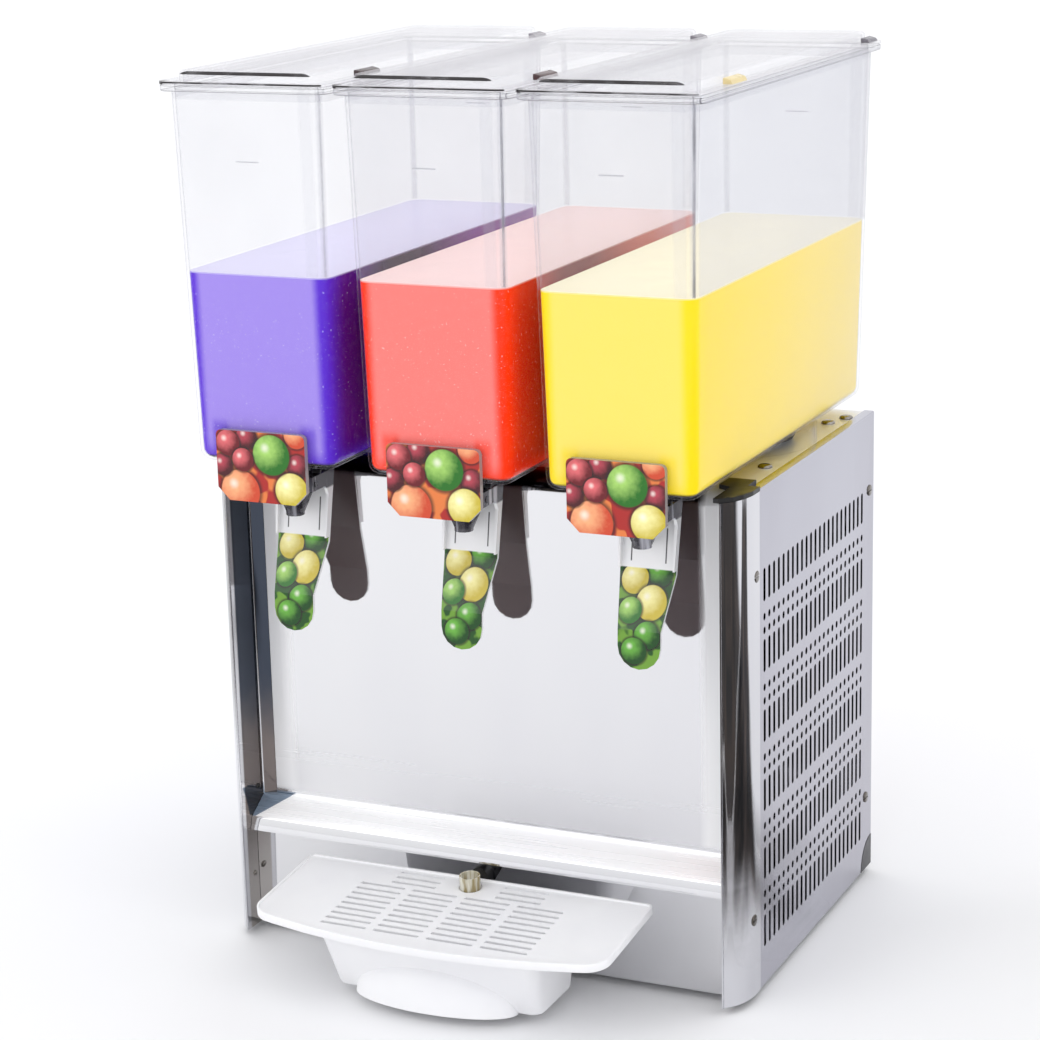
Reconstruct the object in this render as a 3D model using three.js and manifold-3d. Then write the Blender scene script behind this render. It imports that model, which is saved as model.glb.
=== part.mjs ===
// A counter-top cold drink dispenser with three bowls. Lengths are millimetres and +Z is up.
// The front faces -Y, and the origin is on the counter, below the middle of the whole object.
import * as THREE from "three";
import { mergeVertices } from "three/addons/utils/BufferGeometryUtils.js";
import Module from "manifold-3d";

const wasm = await Module();
wasm.setup();

// Whole object
const trayReach = 107;
const rearOverhang = 33;
const clearance = 0.3;
const overrun = 2;

// Cabinet of bent sheet
const cabinetWidth = 430;
const cabinetDepth = 313.4;
const cabinetBottom = 6;
const cabinetTop = 389.4;
const deckDrop = 1;
const sheet = 1.5;
const panWall = 14;
const topFlangeWidth = 9;
const topBend = 0.8;

// Corner columns, measured from the cabinet's front and from its side faces
const returnInset = 15.6;
const returnDepth = 35.3;
const flapInset = 24.8;
const flapDepth = 40;
const columnDepth = 42.7;
const noseWidth = 3;
const noseDepth = 3.9;
const cheekInset = 7.7;
const cheekDepth = 8.3;
const flankInset = 3;
const flankDepth = 17.2;
const shoulderInset = 0.2;
const shoulderDepth = 29.2;
const capThickness = 3.3;
const capOverhang = 4;
const capTailDepth = 60.7;
const capTailInset = 30;

// Front panels
const ledgeTop = 109.8;
const ledgeBackDepth = 28.8;
const ledgeKneeDepth = 15.4;
const ledgeKneeDrop = 12.3;
const lipDepth = 11.9;
const lipDrop = 10.8;
const lipFold = 0.7;
const lowerPanelDepth = 22;
const tuckDepth = 48;

// Louvres of the side panels
const slotColumns = 23;
const slotRows = 6;
const slotRearMargin = 30.1;
const slotTopMargin = 60.5;
const slotHeight = 25;
const slotWidth = 4.8;
const firstSlotDepth = 54.5;
const firstSlotHeight = 36;

// Rear panel, its vents and the dark trim below it
const ventColumns = 10;
const ventRows = 2;
const ventPitch = 28;
const ventRowPitch = 70;
const ventHeight = 50;
const ventWidth = 9;
const ventBottom = 70;
const trimRadius = 25.5;
const trimInset = 0.8;
const trimSteps = 6;

// Feet
const footRadius = 12;
const footTopRadius = 9;
const footInset = 32;
const footFrontDepth = 58;
const footRearInset = 51.4;

// Bowls
const bowlCount = 3;
const bowlMargin = 4.25;
const bowlWall = 3;
const bowlLift = 9.1;
const wallHeight = 273.8;
const rimThickness = 4.7;
const rimGap = 2.7;
const rimReach = 51.5;
const rimOverhang = 6;
const sideDraft = 4.9;
const frontDraft = 6;
const rearDraft = 10.4;
const bowlCorner = 9;
const bottomRadius = 12;
const bottomCornerShare = 0.6;
const collarGap = 11.5;
const collarWall = 3;
const collarRise = 4;
const domeRearDepth = 125;

// Lids
const lidFlange = 2.1;
const lidHeight = 9;
const lidInset = 12.2;
const lidFrontInset = 8.5;
const lidRearInset = 3.4;
const lidBevel = 1.6;
const lidWall = 2;

// Juice
const juiceDepth = 142.5;

// Evaporator domes, seals and impellers
const domeRoom = 22;
const domeWall = 1.8;
const domeRise = 102.5;
const domeBevel = 7;
const domeFlange = 3;
const domeFlangeThickness = 3.3;
const pivotRadius = 3;
const pivotHeight = 7;
const sealWall = 6.9;
const sealLip = 4.8;
const hubWall = 4.7;
const hubHeight = 10.7;
const armThickness = 4.5;
const armWidth = 7;
const armGap = 1.5;
const armLift = 3.5;
const barThickness = 5.5;

// Geared stirring motors under the deck
const motorRadius = 26;
const motorHeight = 43;
const railWidth = 24;
const railThickness = 3.7;
const railEnd = 32;
const driveShaftRadius = 4;
const magnetGap = 6.2;
const magnetThickness = 9;

// Taps
const valveDepth = 3;
const spoutDrop = 46.5;
const spoutRadius = 7;
const spoutLength = 11.5;
const tubeRadius = 8;
const boreRadius = 6;
const seatRadius = 4;
const seatHeight = 5;
const portRadius = 4;
const flangeHalfWidth = 30;
const flangeThickness = 3;
const flangeFrontReach = 37;
const flangeRearDepth = 13;
const cheekOuter = 17;
const tapWall = 3;
const cheekFrontReach = 9;
const cheekRearDepth = 11;
const cheekDrop = 27.5;
const webThickness = 9;
const ribTopDrop = 23.5;
const ribBottomDrop = 44.5;
const ribThickness = 3;
const leverPivotReach = 5;
const leverPivotDrop = 19.5;
const leverPinRadius = 2.5;
const leverPinEnd = 23.2;
const windowDrop = 14.3;
const windowHeight = 8;

// Valve plungers and springs
const plungerRadius = 5.6;
const stemRadius = 2.2;
const discThickness = 3.7;
const discTaper = 1.5;
const headDrop = 13.9;
const headHeight = 4.4;
const crossPinRadius = 1.5;
const crossPinHalfLength = 23;
const springWire = 1;
const springRadius = 4.9;
const springTurns = 3;
const springStepsPerTurn = 8;
const springSides = 5;

// Label plates
const plateHalfWidth = 37;
const plateDrop = 26;
const plateHeight = 53;
const plateThickness = 4.6;
const plateChamfer = 9.5;
const plateCorner = 4;

// Levers: depths and heights of the blade's front face, and half widths at those heights
const leverThickness = 2.5;
const leverTopDrop = 10;
const leverTopDepth = 23;
const leverWaistDrop = 58.5;
const leverWaistDepth = 13;
const leverKneeDrop = 38;
const leverKneeReach = 5.5;
const leverTipDrop = 28.5;
const leverTipReach = 7;
const leverHalfWidth = 22.8;
const leverWaistHalfWidth = 21.5;
const leverKneeHalfWidth = 16.5;
const leverTipSteps = 8;
const armInner = 20.3;
const armTopDrop = 13.5;
const armFrontReach = 10;
const armBottomDrop = 24.5;
const ribRearReach = 3.5;
const ribElbowDepth = 5;
const ribElbowDrop = 31.5;
const leverHoleRadius = 2.8;

// Drip tray
const trayHalfWidth = 143.5;
const trayBackDepth = 9.4;
const trayBackDrop = 10.3;
const trayLength = 97.9;
const trayTilt = 5.2;
const traySkirt = 6.5;
const trayRim = 2.2;
const trayRecess = 1.2;
const trayPlate = 2;
const trayFrontCorner = 14;
const trayBackCorner = 5;
const trayCornerSteps = 4;
const trayBowSteps = 12;
const drainHalfWidth = 84;
const drainColumnGap = 6;
const drainSlotWidth = 3.2;
const drainPitch = 8.2;
const drainColumns = 4;
const drainRows = 9;
const drainRearRows = 3;
const drainFront = 0.7;
const drainRearHalfWidth = 62;
const trayHoleRadius = 9;
const trayHoleBack = 14.4;
const trayWell = 1.2;
const basinBottom = 8;
const basinHalfWidth = 84;
const bellyReach = 91.6;
const basinFrontReach = 67;
const basinRearReach = 5;
const basinFlare = 5;
const basinFrontFlare = 25;
const basinRearFlare = 7;
const basinWall = 2;
const basinCorner = 9;
const basinLip = 4;
const bellyHalfWidth = 55;
const bellyHeight = 34;

// Hook that the tray hangs on
const hookHalfWidth = 7;
const hookDrop = 6.4;

// Compressor, condenser and fan
const compressorRadius = 62;
const compressorHeight = 145;
const compressorRound = 22;
const compressorInset = 120;
const compressorRearDepth = 108.4;
const condenserInset = 25;
const condenserThickness = 40;
const condenserFrontDepth = 70;
const condenserRearInset = 33.4;
const condenserHeight = 222;
const condenserFins = 9;
const finThickness = 8;
const finDepth = 30;
const fanInset = 80;
const fanHeight = 120;
const fanHubRadius = 16;
const fanHubLength = 18;
const fanRadius = 72;
const fanBlades = 5;
const bladeChord = 34;
const bladeThickness = 3;
const bladePitch = 30;
const fanMotorRadius = 24;
const fanMotorLength = 40;
const fanMotorGap = 6;
const fanShaftRadius = 4;
const standThickness = 4;
const standWidth = 30;

// Controls on the rear panel
const controlsDrop = 89.4;
const switchX = -70;
const switchHalfWidth = 9;
const switchHalfHeight = 12;
const switchRear = 8;
const switchProud = 3;
const switchSlack = 1.6;
const knobX = -10;
const knobRadius = 15;
const knobLength = 15;
const knobPointer = 3;
const spindleRadius = 3;
const spindleLength = 9;
const inletX = 55;
const inletHalfWidth = 14;
const inletHalfHeight = 11;
const inletFlange = 5;
const inletFlangeThickness = 2;
const inletLength = 16;
const inletWall = 2.5;
const inletBlade = 1.6;
const inletBladeHeight = 5;
const inletBladePitch = 7;

// Facets of round pieces
const roundSides = 24;
const hiddenSides = 16;
const smallSides = 12;
const boreSides = 8;
const cornerSteps = 3;
const filletSteps = 3;

// Places that follow from the sizes
const overallDepth = trayReach + cabinetDepth + rearOverhang;
const frontY = -overallDepth / 2 + trayReach;
const rearY = frontY + cabinetDepth;
const sideX = cabinetWidth / 2;
const deckTop = cabinetTop - deckDrop;
const ledgeKneeHeight = ledgeTop - ledgeKneeDrop;
const lipHeight = ledgeKneeHeight - lipDrop;
const slotPitch = (cabinetDepth - firstSlotDepth - slotRearMargin) / (slotColumns - 1);
const slotRise = cabinetTop - slotTopMargin - slotHeight - firstSlotHeight;
const slotRowPitch = slotRise / (slotRows - 1);
const footRearDepth = cabinetDepth - footRearInset;
const panFloor = cabinetBottom + sheet;
const panelEdge = sideX - flapInset - clearance;
const deckEdge = sideX - topFlangeWidth - clearance;
const rimFront = frontY - rimReach;
const rimRear = overallDepth / 2;
const bowlPitch = (cabinetWidth - 2 * bowlMargin) / bowlCount;
const rimWidth = bowlPitch - rimGap;
const bowlBottom = deckTop + bowlLift;
const rimUnderside = bowlBottom + wallHeight;
const rimTop = rimUnderside + rimThickness;
const collarRadius = (bowlPitch - collarGap) / 2;
const collarTop = bowlBottom + collarRise;
const juiceLevel = bowlBottom + juiceDepth;
const domeRadius = rimWidth / 2 - rimOverhang - sideDraft - domeRoom;
const domeTop = bowlBottom + domeRise;
const domeY = rearY - domeRearDepth;
const magnetRadius = domeRadius - domeWall - magnetGap;
const valveY = frontY + valveDepth;
const spoutBottom = bowlBottom - spoutDrop;
const cheekBottom = bowlBottom - cheekDrop;
const ribTop = bowlBottom - ribTopDrop;
const ribBottom = bowlBottom - ribBottomDrop;
const windowBottom = bowlBottom - windowDrop;
const windowTop = windowBottom + windowHeight;
const headBottom = bowlBottom - headDrop;
const headTop = headBottom + headHeight;
const plateBottom = bowlBottom - plateDrop;
const plateTop = plateBottom + plateHeight;
const leverPivotY = frontY - leverPivotReach;
const leverPivotHeight = bowlBottom - leverPivotDrop;
const leverTop = bowlBottom - leverTopDrop;
const leverWaist = leverTop - leverWaistDrop;
const leverKnee = leverWaist - leverKneeDrop;
const leverTip = leverKnee - leverTipDrop;
const armTop = bowlBottom - armTopDrop;
const armBottom = bowlBottom - armBottomDrop;
const ribElbow = bowlBottom - ribElbowDrop;
const sealRadius = domeRadius + clearance + sealWall;
const floorHoleRadius = sealRadius + clearance;
const domeFlangeTop = deckTop + clearance + domeFlangeThickness;
const armInnerRadius = domeRadius + armGap;
const hubTop = domeTop + clearance + hubHeight;
const housingTop = bowlBottom - clearance;
const trayBackY = frontY + trayBackDepth;
const trayBackHeight = lipHeight - trayBackDrop;
const hookBottom = trayBackHeight - hookDrop;
const condenserOuter = sideX - condenserInset;
const condenserInner = condenserOuter - condenserThickness;
const condenserRearDepth = cabinetDepth - condenserRearInset;
const compressorX = compressorInset - sideX;
const compressorDepth = cabinetDepth - compressorRearDepth;
const fanX = sideX - fanInset;
const fanDepth = (condenserFrontDepth + condenserRearDepth) / 2;
const controlsHeight = cabinetTop - controlsDrop;
const tilt = THREE.MathUtils.degToRad(trayTilt);
const trayBow = (trayReach + trayBackDepth) / Math.cos(tilt) - trayLength;
const trimCornerRadius = trimRadius + clearance;
const controlPanelFront = rearY - sheet;

// Helpers

function merged(geometry) {
  const bare = geometry.clone();
  bare.deleteAttribute("normal");
  bare.deleteAttribute("uv");
  const whole = mergeVertices(bare);
  const corners = Array.from(whole.index.array);
  const kept = [];
  for (let i = 0; i < corners.length; i += 3) {
    const [a, b, c] = corners.slice(i, i + 3);
    if (a !== b && b !== c && c !== a) kept.push(a, b, c);
  }
  const places = Array.from(whole.attributes.position.array);
  return { places, kept };
}

function signedVolume(places, kept) {
  const at = (i) => new THREE.Vector3(...places.slice(i * 3, i * 3 + 3));
  let sum = 0;
  for (let i = 0; i < kept.length; i += 3) {
    sum += at(kept[i]).dot(at(kept[i + 1]).cross(at(kept[i + 2])));
  }
  return sum;
}

// A closed geometry as a solid, with its faces turned outwards
function solid(geometry) {
  const { places, kept } = merged(geometry);
  if (signedVolume(places, kept) < 0) kept.reverse();
  return new wasm.Manifold(
    new wasm.Mesh({
      numProp: 3,
      vertProperties: new Float32Array(places),
      triVerts: new Uint32Array(kept),
    })
  );
}

function joined(...solids) {
  return solids.reduce((whole, next) => whole.add(next));
}

function cut(whole, ...cutters) {
  return cutters.reduce((rest, next) => rest.subtract(next), whole);
}

function toGeometry(shape) {
  const { vertProperties, triVerts } = shape.getMesh();
  const geometry = new THREE.BufferGeometry();
  geometry.setAttribute("position", new THREE.BufferAttribute(new Float32Array(vertProperties), 3));
  geometry.setIndex(new THREE.BufferAttribute(new Uint32Array(triVerts), 1));
  geometry.computeVertexNormals();
  return geometry;
}

function mirroredX(shape) {
  const geometry = toGeometry(shape);
  geometry.applyMatrix4(new THREE.Matrix4().makeScale(-1, 1, 1));
  return solid(geometry);
}

function block(x0, x1, y0, y1, z0, z1) {
  const geometry = new THREE.BoxGeometry(x1 - x0, y1 - y0, z1 - z0);
  geometry.translate((x0 + x1) / 2, (y0 + y1) / 2, (z0 + z1) / 2);
  return solid(geometry);
}

function extruded(outline, length) {
  const shape = new THREE.Shape(outline.map(([a, b]) => new THREE.Vector2(a, b)));
  return new THREE.ExtrudeGeometry(shape, { depth: length, bevelEnabled: false, curveSegments: 1 });
}

// Outline of [y, z] points, extruded along X
function prismX(outline, x0, x1) {
  const geometry = extruded(outline, x1 - x0);
  const basis = new THREE.Matrix4().makeBasis(
    new THREE.Vector3(0, 1, 0), new THREE.Vector3(0, 0, 1), new THREE.Vector3(1, 0, 0)
  );
  geometry.applyMatrix4(basis);
  geometry.translate(x0, 0, 0);
  return solid(geometry);
}

// Outline of [x, z] points, extruded along Y
function prismY(outline, y0, y1) {
  const geometry = extruded(outline, y1 - y0);
  geometry.rotateX(Math.PI / 2);
  geometry.translate(0, y1, 0);
  return solid(geometry);
}

// Outline of [x, y] points, extruded along Z
function prismZ(outline, z0, z1) {
  const geometry = extruded(outline, z1 - z0);
  geometry.translate(0, 0, z0);
  return solid(geometry);
}

function cylinderZ(radius, x, y, z0, z1, sides = roundSides) {
  const geometry = new THREE.CylinderGeometry(radius, radius, z1 - z0, sides);
  geometry.rotateX(Math.PI / 2);
  geometry.translate(x, y, (z0 + z1) / 2);
  return solid(geometry);
}

function cylinderX(radius, y, z, x0, x1, sides = smallSides) {
  const geometry = new THREE.CylinderGeometry(radius, radius, x1 - x0, sides);
  geometry.rotateZ(Math.PI / 2);
  geometry.translate((x0 + x1) / 2, y, z);
  return solid(geometry);
}

function cylinderY(radius, x, z, y0, y1, sides = smallSides) {
  const geometry = new THREE.CylinderGeometry(radius, radius, y1 - y0, sides);
  geometry.translate(x, (y0 + y1) / 2, z);
  return solid(geometry);
}

// Profile of [radius, z] points, turned about a vertical axis
function turned(profile, x, y, sides = roundSides) {
  const points = profile.map(([r, z]) => new THREE.Vector2(r, z));
  const geometry = new THREE.LatheGeometry(points, sides);
  geometry.rotateX(Math.PI / 2);
  geometry.translate(x, y, 0);
  return solid(geometry);
}

function arc(centerA, centerB, radius, from, to, steps) {
  const points = [];
  for (let i = 0; i <= steps; i++) {
    const angle = from + ((to - from) * i) / steps;
    points.push([centerA + radius * Math.cos(angle), centerB + radius * Math.sin(angle)]);
  }
  return points;
}

// A path of [a, b] points, given a thickness on its left side with mitred bends
function strip(path, thickness) {
  const normals = [];
  for (let i = 0; i + 1 < path.length; i++) {
    const run = [path[i + 1][0] - path[i][0], path[i + 1][1] - path[i][1]];
    const length = Math.hypot(run[0], run[1]);
    normals.push([-run[1] / length, run[0] / length]);
  }
  const inner = path.map(([a, b], i) => {
    const before = normals[Math.max(i - 1, 0)];
    const after = normals[Math.min(i, normals.length - 1)];
    const sum = [before[0] + after[0], before[1] + after[1]];
    const share = (2 * thickness) / (sum[0] ** 2 + sum[1] ** 2);
    return [a + sum[0] * share, b + sum[1] * share];
  });
  return [...path, ...inner.reverse()];
}

// Rounded rectangle at one height, corner by corner
function roundedRing(x0, x1, y0, y1, radius, heightAt, steps = cornerSteps) {
  const quarter = Math.PI / 2;
  const corners = [
    [x1 - radius, y0 + radius, -quarter],
    [x1 - radius, y1 - radius, 0],
    [x0 + radius, y1 - radius, quarter],
    [x0 + radius, y0 + radius, 2 * quarter],
  ];
  return corners.flatMap(([x, y, start]) =>
    arc(x, y, radius, start, start + quarter, steps).map(([a, b]) => new THREE.Vector3(a, b, heightAt(b)))
  );
}

// Rings of equally many points, skinned from the first to the last and closed at both ends
function loft(rings) {
  const count = rings[0].length;
  const last = (rings.length - 1) * count;
  const index = [];
  for (let ring = 0; ring + 1 < rings.length; ring++) {
    for (let i = 0; i < count; i++) {
      const a = ring * count + i;
      const b = ring * count + ((i + 1) % count);
      index.push(a, b, b + count, a, b + count, a + count);
    }
  }
  for (let i = 1; i + 1 < count; i++) {
    index.push(0, i + 1, i, last, last + i, last + i + 1);
  }
  const geometry = new THREE.BufferGeometry();
  const places = rings.flat().flatMap((point) => point.toArray());
  geometry.setAttribute("position", new THREE.Float32BufferAttribute(places, 3));
  geometry.setIndex(index);
  return solid(geometry);
}

// Materials

function metal(color, roughness = 0.25) {
  return new THREE.MeshStandardMaterial({ color, roughness, metalness: 1 });
}

function plastic(color, roughness = 0.4) {
  return new THREE.MeshStandardMaterial({ color, roughness, metalness: 0 });
}

function clear(color, opacity) {
  const settings = { color, roughness: 0.08, metalness: 0, transparent: true, opacity };
  return new THREE.MeshStandardMaterial(settings);
}

const mirrorSteel = metal(0xe6e8ec, 0.06);
const satinSteel = metal(0xc4c5d2, 0.35);
const blackPlastic = plastic(0x151517, 0.5);
const darkPlastic = plastic(0x4c4b57, 0.6);
const whitePlastic = plastic(0xf2f4f6, 0.35);
const clearPlastic = clear(0xf4f4f4, 0.3);
const rubber = plastic(0x2a2a2c, 0.9);
const galvanised = metal(0xa9adb0, 0.5);
const aluminium = metal(0xb9bcc0, 0.4);
const blackPaint = plastic(0x1b1c1e, 0.45);
const plateFace = plastic(0xd8d2b4, 0.35);

const model = new THREE.Group();

function addTo(group, name, shape, material) {
  const mesh = new THREE.Mesh(toGeometry(shape), material);
  mesh.name = name;
  group.add(mesh);
}

function add(name, shape, material) {
  addTo(model, name, shape, material);
}

// Cabinet

function basePan() {
  const edge = sideX - sheet - clearance;
  const front = frontY + columnDepth + clearance;
  const rear = rearY - trimCornerRadius;
  const top = cabinetBottom + panWall;
  const outer = block(-edge, edge, front, rear, cabinetBottom, top);
  const hollow = block(-edge + sheet, edge - sheet, front + sheet, rear - sheet, panFloor, top + overrun);
  return cut(outer, hollow);
}

function columnPath() {
  return [
    [sideX - flapInset, frontY + flapDepth],
    [sideX - returnInset, frontY + returnDepth],
    ...columnFront(),
  ];
}

function columnFront() {
  return [
    [sideX - returnInset, frontY],
    [sideX - returnInset + noseWidth, frontY + noseDepth],
    [sideX - cheekInset, frontY + cheekDepth],
    [sideX - flankInset, frontY + flankDepth],
    [sideX - shoulderInset, frontY + shoulderDepth],
    [sideX, frontY + columnDepth],
  ];
}

function cornerColumn() {
  const whole = prismZ(strip(columnPath(), sheet), cabinetBottom, deckTop);
  const returnFace = sideX - returnInset;
  const notch = block(
    panelEdge - overrun, returnFace, frontY + overrun, frontY + tuckDepth,
    cabinetBottom - overrun, ledgeTop + clearance
  );
  return cut(whole, notch);
}

function columnCap() {
  const bottom = deckTop + clearance;
  const outline = [
    [sideX - returnInset - capOverhang, frontY],
    ...columnFront(),
    [deckEdge, frontY + columnDepth],
    [deckEdge, frontY + capTailDepth],
    [sideX - capTailInset, frontY + capTailDepth],
    [sideX - capTailInset, frontY + flapDepth],
    [sideX - returnInset - capOverhang, frontY + returnDepth],
  ];
  return prismZ(outline, bottom, bottom + capThickness);
}

function frontPanel() {
  const path = [
    [frontY + capTailDepth, deckTop],
    [frontY + flapDepth, deckTop],
    [frontY + flapDepth, ledgeTop + clearance],
  ];
  return prismX(strip(path, sheet), -panelEdge, panelEdge);
}

function lowerFrontPanel() {
  const edge = sideX - returnInset - clearance;
  const path = [
    [frontY + tuckDepth, ledgeTop],
    [frontY + ledgeBackDepth, ledgeTop],
    [frontY + ledgeKneeDepth, ledgeKneeHeight],
    [frontY + lipDepth, lipHeight],
    [frontY + lowerPanelDepth, lipHeight - lipFold],
    [frontY + lowerPanelDepth, cabinetBottom],
    [frontY + columnDepth, cabinetBottom],
  ];
  return prismX(strip(path, sheet), -edge, edge);
}

function trayHook() {
  const front = trayBackY + traySkirt * Math.sin(tilt) + clearance;
  const rear = frontY + lowerPanelDepth - clearance;
  const top = arc(0, hookBottom + hookHalfWidth, hookHalfWidth, 0, Math.PI, smallSides);
  return prismY([[-hookHalfWidth, hookBottom], [hookHalfWidth, hookBottom], ...top], front, rear);
}

function sideSlots() {
  const slots = [];
  for (let column = 0; column < slotColumns; column++) {
    const y = frontY + firstSlotDepth + column * slotPitch;
    for (let row = 0; row < slotRows; row++) {
      const z = firstSlotHeight + row * slotRowPitch;
      slots.push(block(
        sideX - sheet - overrun, sideX + overrun, y - slotWidth / 2, y + slotWidth / 2, z, z + slotHeight
      ));
    }
  }
  return slots;
}

function sidePanel() {
  const front = frontY + columnDepth + clearance;
  const flangeUnder = cabinetTop - sheet;
  const plateTopEdge = cabinetTop - topBend;
  const notch = arc(rearY, cabinetBottom, trimCornerRadius, Math.PI, Math.PI / 2, trimSteps);
  const outline = [[front, cabinetBottom], ...notch, [rearY, plateTopEdge], [front, plateTopEdge]];
  const plate = cut(prismX(outline, sideX - sheet, sideX), ...sideSlots());
  const flangeOutline = [
    [sideX - topFlangeWidth, flangeUnder],
    [sideX, flangeUnder],
    [sideX, plateTopEdge],
    [sideX - topBend, cabinetTop],
    [sideX - topFlangeWidth, cabinetTop],
  ];
  return joined(plate, prismY(flangeOutline, front, rearY));
}

function rearPanel() {
  const edge = sideX - sheet - clearance;
  const bottom = cabinetBottom + trimCornerRadius;
  const near = controlPanelFront - overrun;
  const far = rearY + overrun;
  const holes = [];
  for (let column = 0; column < ventColumns; column++) {
    const x = (column - (ventColumns - 1) / 2) * ventPitch;
    for (let row = 0; row < ventRows; row++) {
      const z = ventBottom + row * ventRowPitch;
      holes.push(block(x - ventWidth / 2, x + ventWidth / 2, near, far, z, z + ventHeight));
    }
  }
  const switchX0 = switchX - switchHalfWidth - clearance;
  const switchX1 = switchX + switchHalfWidth + clearance;
  const switchRise = switchHalfHeight + switchSlack;
  holes.push(block(switchX0, switchX1, near, far, controlsHeight - switchRise, controlsHeight + switchRise));
  const inletX0 = inletX - inletHalfWidth - clearance;
  const inletX1 = inletX + inletHalfWidth + clearance;
  const inletRise = inletHalfHeight + clearance;
  holes.push(block(inletX0, inletX1, near, far, controlsHeight - inletRise, controlsHeight + inletRise));
  holes.push(cylinderY(spindleRadius + clearance, knobX, controlsHeight, near, far));
  const top = deckTop - sheet - clearance;
  return cut(block(-edge, edge, controlPanelFront, rearY, bottom, top), ...holes);
}

function topDeck() {
  const front = frontY + capTailDepth + clearance;
  const plate = block(-deckEdge, deckEdge, front, rearY, deckTop - sheet, deckTop);
  const holes = [-1, 0, 1].map((side) =>
    cylinderZ(domeRadius - domeWall, side * bowlPitch, domeY, deckTop - sheet - overrun, deckTop + overrun)
  );
  return cut(plate, ...holes);
}

function rearTrim() {
  const edge = sideX - trimInset;
  const curve = arc(rearY, cabinetBottom, trimRadius, Math.PI / 2, Math.PI, trimSteps);
  const outline = [[rearY, cabinetBottom], ...curve];
  return prismX(outline, -edge, edge);
}

function foot(x, y) {
  const top = cabinetBottom - clearance;
  return turned([[0, 0], [footRadius, 0], [footTopRadius, top], [0, top]], x, y, hiddenSides);
}

// Bowls and lids

function wallAt(z) {
  const share = (z - bowlBottom) / (rimUnderside - bowlBottom);
  const drawn = 1 - share;
  return {
    half: rimWidth / 2 - rimOverhang - sideDraft * drawn,
    front: rimFront + rimOverhang + frontDraft * drawn,
    rear: rimRear - rimOverhang - rearDraft * drawn,
  };
}

function wallRing(x, z, inset, radius) {
  const { half, front, rear } = wallAt(z);
  return roundedRing(x - half + inset, x + half - inset, front + inset, rear - inset, radius, () => z);
}

// The bowl's wall surface, drawn in by an inset, from a filleted bottom up to a height
function bowlForm(x, inset, bottom, top) {
  const fillet = bottomRadius - inset;
  const corner = bowlCorner - inset;
  const rings = [];
  for (let i = 0; i <= filletSteps; i++) {
    const angle = (i / filletSteps) * (Math.PI / 2);
    const drawn = fillet * (1 - Math.sin(angle));
    const radius = corner * (1 - bottomCornerShare * (1 - Math.sin(angle)));
    rings.push(wallRing(x, bottom + fillet * (1 - Math.cos(angle)), inset + drawn, radius));
  }
  rings.push(wallRing(x, top, inset, corner));
  return loft(rings);
}

function rimRing(x, inset, z) {
  const half = rimWidth / 2 - inset;
  return roundedRing(x - half, x + half, rimFront + inset, rimRear - inset, bowlCorner - inset, () => z);
}

function bowl(x) {
  const rim = loft([rimRing(x, 0, rimUnderside), rimRing(x, 0, rimTop)]);
  const collarBottom = deckTop + clearance;
  const collar = cylinderZ(collarRadius, x, domeY, collarBottom, collarTop);
  const socket = cylinderZ(collarRadius - collarWall, x, domeY, collarBottom - overrun, bowlBottom);
  const hollow = bowlForm(x, bowlWall, bowlBottom + bowlWall, rimTop + overrun);
  const domeHole = cylinderZ(floorHoleRadius, x, domeY, deckTop, collarTop + overrun, hiddenSides);
  const port = cylinderZ(portRadius, x, valveY, bowlBottom - overrun, collarTop + overrun, smallSides);
  const body = joined(bowlForm(x, 0, bowlBottom, rimTop), rim, collar);
  return cut(body, hollow, socket, domeHole, port);
}

function lid(x) {
  const bottom = rimTop + clearance;
  const top = bottom + lidHeight;
  const raised = (inset, z) => {
    const half = rimWidth / 2 - lidInset - inset;
    const front = rimFront + lidFrontInset + inset;
    const rear = rimRear - lidRearInset - inset;
    return roundedRing(x - half, x + half, front, rear, bowlCorner - inset, () => z);
  };
  const flange = loft([rimRing(x, 0, bottom), rimRing(x, 0, bottom + lidFlange)]);
  const crown = loft([raised(0, bottom), raised(0, top - lidBevel), raised(lidBevel, top)]);
  const hollow = loft([raised(lidWall, bottom - overrun), raised(lidWall, top - lidWall)]);
  return cut(joined(flange, crown), hollow);
}

function juice(x) {
  const inset = bowlWall + clearance;
  const body = bowlForm(x, inset, bowlBottom + inset, juiceLevel);
  const cavityTop = hubTop + overrun;
  const cavity = cylinderZ(floorHoleRadius + clearance, x, domeY, bowlBottom, cavityTop);
  return cut(body, cavity);
}

// Stirring and cooling

function evaporatorDome(x) {
  const base = deckTop + clearance;
  const inner = domeRadius - domeWall;
  const bevelInner = domeBevel - domeWall;
  return turned([
    [0, domeTop - domeWall],
    [inner - bevelInner, domeTop - domeWall],
    [inner, domeTop - domeWall - bevelInner],
    [inner, base],
    [domeRadius + domeFlange, base],
    [domeRadius + domeFlange, domeFlangeTop],
    [domeRadius, domeFlangeTop],
    [domeRadius, domeTop - domeBevel],
    [domeRadius - domeBevel, domeTop],
    [pivotRadius, domeTop],
    [pivotRadius, domeTop + pivotHeight],
    [0, domeTop + pivotHeight],
  ], x, domeY, hiddenSides);
}

function ring(inner, profile, x, y, sides = roundSides) {
  const points = profile.map(([r, z]) => [inner + r, z]);
  return turned([...points, points[0]], x, y, sides);
}

function bowlSeal(x) {
  const bottom = domeFlangeTop + clearance;
  const lipTop = bowlBottom - clearance;
  const top = bowlBottom + bowlWall;
  const profile = [
    [0, bottom], [sealWall + sealLip, bottom], [sealWall + sealLip, lipTop],
    [sealWall, lipTop], [sealWall, top], [0, top],
  ];
  return ring(domeRadius + clearance, profile, x, domeY, hiddenSides);
}

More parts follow.
